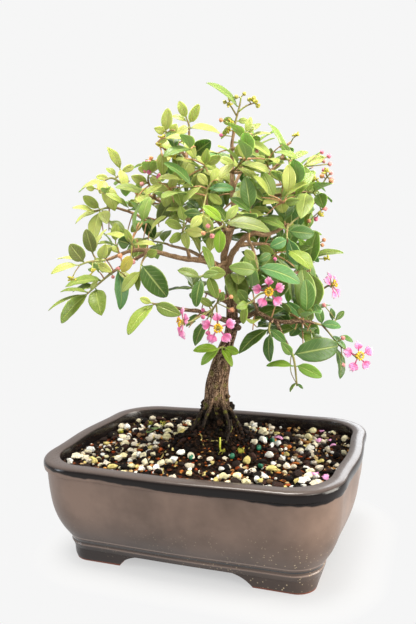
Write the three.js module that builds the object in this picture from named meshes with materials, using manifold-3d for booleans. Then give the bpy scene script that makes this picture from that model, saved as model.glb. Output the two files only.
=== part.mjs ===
// Barbados cherry bonsai in a glazed rectangular pot. Millimetres, +Z up.
// X runs along the pot's length, Y from its front to its back. The origin lies on the surface
// that the feet stand on, under the middle of the whole plant and pot.
import * as THREE from "three";
import { mergeVertices } from "three/addons/utils/BufferGeometryUtils.js";
import Module from "manifold-3d";

const wasm = await Module();
wasm.setup();
const { Manifold, Mesh: SolidMesh } = wasm;

// Pot
const POT_LENGTH = 203;
const POT_WIDTH = 156;
const POT_HEIGHT = 70;
const RIM_CORNER = 33;
const RIM_FLAT = 9.2;
const SIDE_BOW = 2.6;
const LIP_DEPTH = 7.5;
const FOOT_HEIGHT = 8.8;
const FOOT_LENGTH = 163;
const FOOT_WIDTH = 113.4;
const FOOT_CORNER = 12;
const FOOT_WALL = 11;
const FOOT_REACH = 36;
const FLOOR_TOP = 15;
const DRAIN_RADIUS = 8;
const DRAIN_SPACING = 84;

// Drainage mesh
const MESH_SIZE = 28;
const MESH_THICK = 1.2;
const MESH_HOLES = 3;
const MESH_PITCH = 7;
const MESH_OPENING = 4.6;

// Soil
const SOIL_EDGE_HEIGHT = 60.5;
const SOIL_MOUND = 11;
const SOIL_MOUND_REACH = 44;
const GRAIN_COUNT = 36;
const GRAIN_SMALL = 2.6;
const GRAIN_LARGE = 4.6;

// Plant
const TOUCH_GAP = 0.3;
const SLIVER = 0.02;
const TRUNK_SEAT = 46;
const STEM_RADIUS = 0.85;
const STOUT_LIMB = 1.6;
const SLIM_SIDES = 3;
const PETIOLE_RADIUS = 0.5;
const PETIOLE_ROOT = 0.32;
const LEAF_KEEL = 0.75;
const SHORT_PETIOLE = 4.5;
const SMALL_BLADE = 14;
const STRAIGHT_PETIOLE = 1.8;
const LEAF_ASPECT = 0.54;
const LEAF_FOLD = 0.16;
const LEAF_ARCH = 0.09;
const LEAF_LEAN = 0.9;
const LEAF_CLEARANCE = 3.0;
const BLADE_CLEARANCE = 1.2;
const TWIG_CLEARANCE = 1.9;
const PETAL_RADIUS = 11.4;
const BUD_RADIUS = 1.7;
const FRUIT_RADIUS = 4.2;

// The front view: points of the plant are picked where they show from here, in a frame of
// 416 by 624 points, and each slides along its line of sight to its own depth behind the
// pot's middle.
const VIEW_TURN = THREE.MathUtils.degToRad(20.57);
const VIEW_DIP = THREE.MathUtils.degToRad(6.93);
const VIEW_ROLL = THREE.MathUtils.degToRad(-1.9);
const VIEW_FOCUS = 650.64;
const FRAME_MIDDLE = [208, 312];
const EYE = new THREE.Vector3(154.54, -409.44, 212.79);

const away = new THREE.Vector3(-Math.sin(VIEW_TURN), Math.cos(VIEW_TURN), 0);
const across = new THREE.Vector3(Math.cos(VIEW_TURN), Math.sin(VIEW_TURN), 0);
const up = new THREE.Vector3(0, 0, 1);
const sight = turned(away, VIEW_DIP, up, -1);
const lift = turned(up, VIEW_DIP, away, 1);
const frameRight = turned(across, VIEW_ROLL, lift, 1);
const frameUp = turned(lift, VIEW_ROLL, across, -1);

// A way turned by an angle toward another that is square to it
function turned(way, angle, toward, sign) {
  return way.clone().multiplyScalar(Math.cos(angle)).addScaledVector(toward, sign * Math.sin(angle));
}

// Where a point of the front view lies at a depth behind the pot's middle.
function seen(x, y, depth) {
  const ray = sight.clone()
    .addScaledVector(frameRight, (x - FRAME_MIDDLE[0]) / VIEW_FOCUS)
    .addScaledVector(frameUp, (FRAME_MIDDLE[1] - y) / VIEW_FOCUS);
  const reach = (depth - EYE.dot(away)) / ray.dot(away);
  return EYE.clone().addScaledVector(ray, reach);
}

// Seeded draws from 0 to 1
function seeded(seed) {
  let state = seed >>> 0;
  return () => {
    state = (state + 0x6D2B79F5) >>> 0;
    let t = state;
    t = Math.imul(t ^ (t >>> 15), t | 1);
    t ^= t + Math.imul(t ^ (t >>> 7), t | 61);
    return ((t ^ (t >>> 14)) >>> 0) / 4294967296;
  };
}

// Solids
function solidOf(points, faces) {
  const vertProperties = new Float32Array(points.flatMap((p) => [p.x, p.y, p.z]));
  const triVerts = new Uint32Array(faces.flat());
  return new Manifold(new SolidMesh({ numProp: 3, vertProperties, triVerts }));
}

function solidOfGeometry(geometry) {
  const bare = geometry.clone();
  bare.deleteAttribute("normal");
  bare.deleteAttribute("uv");
  const merged = mergeVertices(bare, 1e-4);
  const vertProperties = new Float32Array(merged.attributes.position.array);
  const triVerts = new Uint32Array(merged.index.array);
  return new Manifold(new SolidMesh({ numProp: 3, vertProperties, triVerts }));
}

// One body of many, without the slivers that joining leaves
function join(solids) {
  return Manifold.union(solids).simplify(SLIVER);
}

// The main body of a solid, without the scraps that a cut leaves loose
function largestOf(solid) {
  return solid.decompose().reduce((best, body) => (body.volume() > best.volume() ? body : best));
}

// A closed solid through rings of points that run anticlockwise about the way ahead. A ring of
// one point ends it in a tip. The quads are split alike on both faces of a blade.
function loft(rings) {
  const points = rings.flat();
  const faces = [];
  let start = 0;
  for (let i = 1; i < rings.length; i += 1) {
    const low = rings[i - 1];
    const high = rings[i];
    const next = start + low.length;
    const count = Math.max(low.length, high.length);
    for (let k = 0; k < count; k += 1) {
      const a = start + (k % low.length);
      const b = start + ((k + 1) % low.length);
      const c = next + (k % high.length);
      const d = next + ((k + 1) % high.length);
      if (k % 2 === 0) {
        if (low.length > 1) faces.push([a, b, d]);
        if (high.length > 1) faces.push([a, d, c]);
      } else {
        if (low.length > 1) faces.push([a, b, c]);
        if (high.length > 1) faces.push([b, d, c]);
      }
      if (high.length === 1) faces.pop();
      if (high.length === 1) faces.push([a, b, next]);
    }
    start = next;
  }
  capEnd(points, faces, 0, rings[0].length, false);
  capEnd(points, faces, start, rings[rings.length - 1].length, true);
  return solidOf(points, faces);
}

function capEnd(points, faces, start, count, ahead) {
  if (count === 1) return;
  let hub = start;
  if (count > 4) {
    hub = points.length;
    const middle = new THREE.Vector3();
    for (let k = 0; k < count; k += 1) middle.addScaledVector(points[start + k], 1 / count);
    points.push(middle);
  }
  const first = count > 4 ? 0 : 1;
  const last = count > 4 ? count : count - 1;
  for (let k = first; k < last; k += 1) {
    const a = start + k;
    const b = start + ((k + 1) % count);
    faces.push(ahead ? [hub, a, b] : [hub, b, a]);
  }
}

// Ring of points across a direction; shape gives the reach at each turn in degrees.
function ringAcross(middle, side, front, count, reach) {
  return Array.from({ length: count }, (_, k) => {
    const turn = (2 * Math.PI * k) / count;
    const far = reach(turn);
    return middle.clone()
      .addScaledVector(side, far * Math.cos(turn))
      .addScaledVector(front, far * Math.sin(turn));
  });
}

// Tube along a line of points, tapering evenly from one radius to the other. Its first face is
// square to startWay where that is given.
function tube(line, startRadius, endRadius, sides, startWay = null) {
  const total = lengthOf(line);
  const rings = [];
  let travelled = 0;
  let side = null;
  line.forEach((point, i) => {
    const before = line[Math.max(i - 1, 0)];
    const after = line[Math.min(i + 1, line.length - 1)];
    const along = i === 0 && startWay !== null ? startWay : after.clone().sub(before).normalize();
    if (side === null) side = Math.abs(along.z) < 0.9 ? up.clone() : across.clone();
    side = side.clone().addScaledVector(along, -side.dot(along)).normalize();
    const front = along.clone().cross(side);
    if (i > 0) travelled += point.distanceTo(line[i - 1]);
    const radius = THREE.MathUtils.lerp(startRadius, endRadius, travelled / total);
    rings.push(ringAcross(point, side, front, sides, () => radius));
  });
  return loft(rings);
}

function lengthOf(line) {
  return line.reduce((sum, point, i) => sum + (i > 0 ? point.distanceTo(line[i - 1]) : 0), 0);
}

// Point and direction at a share of a line's length
function pointAlong(line, share) {
  let left = lengthOf(line) * share;
  for (let i = 1; i < line.length; i += 1) {
    const step = line[i].distanceTo(line[i - 1]);
    if (left <= step || i === line.length - 1) {
      const along = line[i].clone().sub(line[i - 1]).normalize();
      return { point: line[i - 1].clone().addScaledVector(along, Math.min(left, step)), along };
    }
    left -= step;
  }
  return null;
}

// Nearest place on a set of lines to a point
function nearestOn(lines, target) {
  let best = null;
  for (const line of lines) {
    for (let i = 1; i < line.length; i += 1) {
      const span = new THREE.Line3(line[i - 1], line[i]);
      const point = span.closestPointToPoint(target, true, new THREE.Vector3());
      const gap = point.distanceTo(target);
      if (best === null || gap < best.gap) best = { point, gap };
    }
  }
  return best.point;
}

// Rounded rectangle with sides that bow outward, half of the bow outside its size and half inside
function roundedOutline(length, width, corner, z, bow, cornerSteps) {
  const points = [];
  const halfLength = length / 2 - corner - bow / 2;
  const halfWidth = width / 2 - corner - bow / 2;
  const corners = [[1, 1, 0], [-1, 1, 90], [-1, -1, 180], [1, -1, 270]];
  for (const [sx, sy, from] of corners) {
    for (let k = 0; k <= cornerSteps; k += 1) {
      const turn = THREE.MathUtils.degToRad(from + (90 * k) / cornerSteps);
      const x = sx * halfLength + corner * Math.cos(turn);
      const y = sy * halfWidth + corner * Math.sin(turn);
      points.push(new THREE.Vector3(x, y, z));
    }
    const alongX = sy > 0 === sx > 0;
    if (alongX) points.push(new THREE.Vector3(0, sy * (width + bow) / 2, z));
    else points.push(new THREE.Vector3(sx * (length + bow) / 2, 0, z));
  }
  return points;
}

// Pot: the outside is a stack of outlines from the base to the lip
const POT_OUTSIDE = [
  // height, length, width, corner radius, bow
  [0, FOOT_LENGTH, FOOT_WIDTH, FOOT_CORNER, 0],
  [3, FOOT_LENGTH + 2.2, FOOT_WIDTH + 2.2, FOOT_CORNER + 1, 0.2],
  [FOOT_HEIGHT - 0.4, FOOT_LENGTH + 3.4, FOOT_WIDTH + 3.4, FOOT_CORNER + 2, 0.4],
  [FOOT_HEIGHT, 168.2, 118.6, 16, 0.8],
  [12.6, 171.6, 122.2, 18, 1],
  [13.2, 171, 121.6, 18, 1],
  [17.2, 174.2, 125, 20, 1.2],
  [17.8, 176, 127, 21, 1.4],
  [26, 186, 137.2, 25, 1.8],
  [36, 193.2, 145, 28, 2.1],
  [48, 197.2, 149.8, 30, SIDE_BOW],
  [POT_HEIGHT - LIP_DEPTH, POT_LENGTH - 4, POT_WIDTH - 4.2, 31, SIDE_BOW],
  [POT_HEIGHT - LIP_DEPTH + 1.2, POT_LENGTH - 0.6, POT_WIDTH - 0.8, 32.6, SIDE_BOW],
  [POT_HEIGHT - 2.6, POT_LENGTH, POT_WIDTH, RIM_CORNER, SIDE_BOW],
  [POT_HEIGHT - 0.7, POT_LENGTH - 1.6, POT_WIDTH - 1.6, RIM_CORNER - 0.8, SIDE_BOW],
  [POT_HEIGHT, POT_LENGTH - 4.4, POT_WIDTH - 4.4, RIM_CORNER - 2.2, SIDE_BOW],
];
const INNER_LENGTH = POT_LENGTH - 2 * RIM_FLAT;
const INNER_WIDTH = POT_WIDTH - 2 * RIM_FLAT;
const INNER_CORNER = 27.6;
const POT_INSIDE = [
  [FLOOR_TOP, 160, 112, 18, 1],
  [26, 170, 122, 21, 1.6],
  [46, INNER_LENGTH - 1, INNER_WIDTH - 1, INNER_CORNER - 1, SIDE_BOW],
  [POT_HEIGHT + 2, INNER_LENGTH, INNER_WIDTH, INNER_CORNER, SIDE_BOW],
];
const CORNER_STEPS = 3;

function stackOf(outlines, grow = 0) {
  return outlines.map(([z, length, width, corner, bow]) =>
    roundedOutline(length + 2 * grow, width + 2 * grow, corner + grow, z, bow, CORNER_STEPS));
}

// Arch between two feet: a flat-topped gap with curved haunches, cut right through the base
function footArch(span, through) {
  const shape = new THREE.Shape();
  const half = span / 2;
  const top = FOOT_HEIGHT - 0.6;
  shape.moveTo(-half, -1);
  shape.lineTo(half, -1);
  shape.quadraticCurveTo(half - 3, top * 0.7, half - 13, top);
  shape.lineTo(-half + 13, top);
  shape.quadraticCurveTo(-half + 3, top * 0.7, -half, -1);
  const how = { depth: through, bevelEnabled: false, curveSegments: 4 };
  const geometry = new THREE.ExtrudeGeometry(shape, how);
  geometry.translate(0, 0, -through / 2);
  geometry.rotateX(Math.PI / 2);
  return geometry;
}

function drainPlaces() {
  return [-DRAIN_SPACING / 2, DRAIN_SPACING / 2];
}

function makePot() {
  let pot = loft(stackOf(POT_OUTSIDE)).subtract(loft(stackOf(POT_INSIDE)));
  const recess = [-1, FOOT_HEIGHT - 0.2].map((z) =>
    roundedOutline(FOOT_LENGTH - 2 * FOOT_WALL, FOOT_WIDTH - 2 * FOOT_WALL, 8, z, 0, 2));
  pot = pot.subtract(loft(recess));
  pot = pot.subtract(solidOfGeometry(footArch(FOOT_LENGTH - 2 * FOOT_REACH, POT_WIDTH)));
  const sideArch = footArch(FOOT_WIDTH - 2 * FOOT_REACH * 0.9, POT_LENGTH).rotateZ(Math.PI / 2);
  pot = pot.subtract(solidOfGeometry(sideArch));
  for (const x of drainPlaces()) {
    const hole = new THREE.CylinderGeometry(DRAIN_RADIUS, DRAIN_RADIUS, FLOOR_TOP + 10, 14);
    hole.rotateX(Math.PI / 2).translate(x, 0, FLOOR_TOP / 2);
    pot = pot.subtract(solidOfGeometry(hole));
  }
  return pot;
}

// Plastic mesh over each drainage hole
function makeDrainMesh(x) {
  const low = FLOOR_TOP + TOUCH_GAP;
  const plate = new THREE.BoxGeometry(MESH_SIZE, MESH_SIZE, MESH_THICK);
  plate.translate(x, 0, low + MESH_THICK / 2);
  const openings = [];
  const first = -(MESH_HOLES - 1) / 2;
  for (let i = 0; i < MESH_HOLES; i += 1) {
    for (let j = 0; j < MESH_HOLES; j += 1) {
      const opening = new THREE.BoxGeometry(MESH_OPENING, MESH_OPENING, 4 * MESH_THICK);
      opening.translate(x + (first + i) * MESH_PITCH, (first + j) * MESH_PITCH, low);
      openings.push(solidOfGeometry(opening));
    }
  }
  return solidOfGeometry(plate).subtract(join(openings));
}

// Trunk: front-view place, depth, radius and how deeply it is fluted
const TRUNK = [
  // x, y, depth, radius, fluting
  [215, 446, -6, 17, 0.2],
  [215, 436, -6, 14.2, 0.2],
  [216, 424, -6, 11.2, 0.17],
  [216, 410, -6, 9.2, 0.13],
  [216, 398, -6, 8.5, 0.1],
  [217, 380, -6, 7.3, 0.08],
  [221, 362, -6, 6.4, 0.07],
  [226, 345, -6, 4.9, 0.06],
  [231, 330, -6, 4, 0.05],
  [232, 310, -6, 3.7, 0.04],
  [231, 290, -6, 3.1, 0.03],
  [227, 272, -5, 2.7, 0.02],
  [224, 256, -4, 2.4, 0],
];
// Above the first big limbs the trunk is no thicker than they are
const LEADER = [
  [227, 272, -5], [224, 256, -4], [229, 236, -3], [234, 218, -2], [233, 198, 0], [232, 176, 2],
  [232, 156, 3], [232, 143, 3], [234, 132, 3],
];
const LEADER_RADII = [2.6, 0.95];
const TRUNK_SIDES = 10;
const ROOT_LOBES = 5;
const SEAT_SHRINK = 0.5;

const trunkLine = TRUNK.map(([x, y, depth]) => seen(x, y, depth));
const leaderLine = LEADER.map((pick) => seen(...pick));

function trunkRing(i, grow) {
  const [, , , radius, fluting] = TRUNK[i];
  const twist = i * 0.12;
  return ringAcross(trunkLine[i], across, away, TRUNK_SIDES, (turn) =>
    radius * (1 + fluting * Math.cos(ROOT_LOBES * turn + twist)) + grow);
}

// The stump of the trunk that is buried, narrowing to its seat
function trunkSeatRing(grow, drop) {
  const middle = trunkLine[0].clone().setZ(TRUNK_SEAT - drop);
  return ringAcross(middle, across, away, TRUNK_SIDES, () => TRUNK[0][3] * SEAT_SHRINK + grow);
}

// Limbs: the branch each grows from, radii at its two ends, and its line in the front view
const LIMBS = {
  right_big: ["trunk", 2.3, 0.9, [
    [228, 268, -5], [232, 254, -9], [240, 243, -14], [246, 236, -18], [255, 233, -20], [264, 235, -22],
    [277, 231, -22], [285, 226, -20],
  ]],
  right_reach: ["right_big", 1.4, 0.85, [
    [240, 245, -13], [262, 244, -4], [272, 246, 2], [287, 248, 7], [300, 252, 10],
  ]],
  right_up: ["leader", 1.7, 0.85, [
    [233, 222, -2], [240, 216, 2], [253, 203, 10], [258, 190, 15], [265, 179, 18], [273, 169, 19],
    [281, 161, 18], [285, 148, 17], [291, 142, 17],
  ]],
  right_out: ["right_up", 1.2, 0.85, [[253, 203, 10], [268, 197, 5], [285, 194, -1], [300, 192, -5]]],
  left_main: ["trunk", 2.1, 0.95, [
    [227, 270, -5], [212, 263, -11], [198, 260, -17], [186, 259, -20], [172, 256, -22],
    [157, 252, -24], [144, 250, -25], [130, 251, -26], [112, 258, -27],
  ]],
  left_fork: ["left_main", 1.2, 0.85, [
    [150, 251, -24], [137, 258, -17], [124, 265, -11], [114, 271, -7],
  ]],
  left_riser: ["left_main", 1.1, 0.8, [[190, 259, -19], [187, 248, -23], [184, 238, -27]]],
  left_upper: ["leader", 1.7, 0.85, [
    [228, 240, -3], [214, 231, 0], [205, 226, 4], [190, 221, 9], [181, 214, 13], [170, 207, 16],
    [158, 200, 18], [146, 194, 19], [135, 191, 20], [126, 186, 20],
  ]],
  left_middle: ["left_upper", 1.2, 0.85, [
    [172, 209, 16], [160, 218, 23], [148, 221, 27], [135, 214, 30], [117, 208, 30],
  ]],
  left_low: ["trunk", 1.9, 0.85, [
    [231, 322, -6], [219, 318, -14], [210, 315, -21], [198, 311, -27], [186, 310, -30],
    [172, 307, -32], [163, 305, -33],
  ]],
  crown_left: ["left_upper", 1.5, 0.85, [
    [196, 223, 7], [196, 212, 8], [195, 198, 9], [193, 185, 10], [190, 170, 9], [185, 157, 5],
    [180, 148, -1], [175, 141, -6],
  ]],
  crown_riser: ["crown_left", 1, 0.8, [[186, 159, 6], [188, 146, 11], [189, 136, 14]]],
  crown_bare: ["crown_left", 0.8, 0.5, [
    [182, 152, 2], [170, 152, -6], [163, 148, -10], [156, 144, -12],
  ]],
  centre_front: ["leader", 1.3, 0.85, [
    [232, 226, -2], [220, 215, -12], [208, 206, -20], [206, 198, -23],
  ]],
  front_reach: ["leader", 1.4, 0.9, [[231, 230, -2], [228, 230, -22], [226, 229, -40]]],
  front_low: ["trunk", 1.4, 0.85, [[225, 262, -4], [219, 266, -22], [214, 270, -38]]],
  front_right: ["right_big", 1.1, 0.8, [[246, 236, -18], [252, 247, -34], [255, 256, -44]]],
  right_low: ["trunk", 2.1, 0.9, [
    [232, 324, -6], [242, 319, -12], [250, 315, -16], [258, 313, -19], [266, 317, -22],
    [275, 321, -24], [286, 322, -25], [300, 321, -24], [311, 322, -22],
  ]],
  right_low_rise: ["right_low", 1, 0.8, [[258, 313, -19], [256, 307, -26], [254, 303, -32]]],
  right_low_drop: ["right_low", 1.1, 0.85, [[276, 322, -24], [283, 336, -30], [288, 346, -33]]],
  right_low_back: ["right_low", 1.1, 0.8, [[296, 321, -24], [301, 322, -10], [303, 322, 4]]],
  back_low: ["trunk", 1.7, 0.85, [[232, 306, -6], [226, 302, 9], [216, 297, 20], [207, 293, 30]]],
  back_low_right: ["trunk", 1.6, 0.85, [[232, 296, -6], [243, 292, 9], [258, 288, 20], [268, 285, 28]]],
  back_left: ["left_main", 1.5, 0.85, [[212, 263, -11], [200, 256, 4], [188, 250, 17], [172, 246, 29]]],
  back_right: ["right_big", 1.4, 0.85, [
    [236, 249, -12], [246, 238, 5], [260, 232, 20], [276, 228, 32],
  ]],
  back_middle: ["leader", 1.5, 0.85, [[229, 240, -3], [224, 230, 13], [218, 222, 27], [214, 218, 37]]],
  back_top: ["leader", 1.1, 0.8, [[233, 190, 1], [238, 178, 13], [243, 168, 23], [246, 162, 29]]],
  back_top_left: ["crown_left", 1.1, 0.8, [[194, 190, 9], [186, 182, 22], [178, 176, 31]]],
  back_top_right: ["right_up", 1.1, 0.8, [[258, 190, 15], [270, 186, 27], [284, 184, 35]]],
};

const WOOD_LINES = { trunk: trunkLine, leader: leaderLine };
for (const [name, [parent, , , picks]] of Object.entries(LIMBS)) {
  const line = picks.map((pick) => seen(...pick));
  line[0] = nearestOn([WOOD_LINES[parent]], line[0]);
  WOOD_LINES[name] = line;
}

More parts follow.
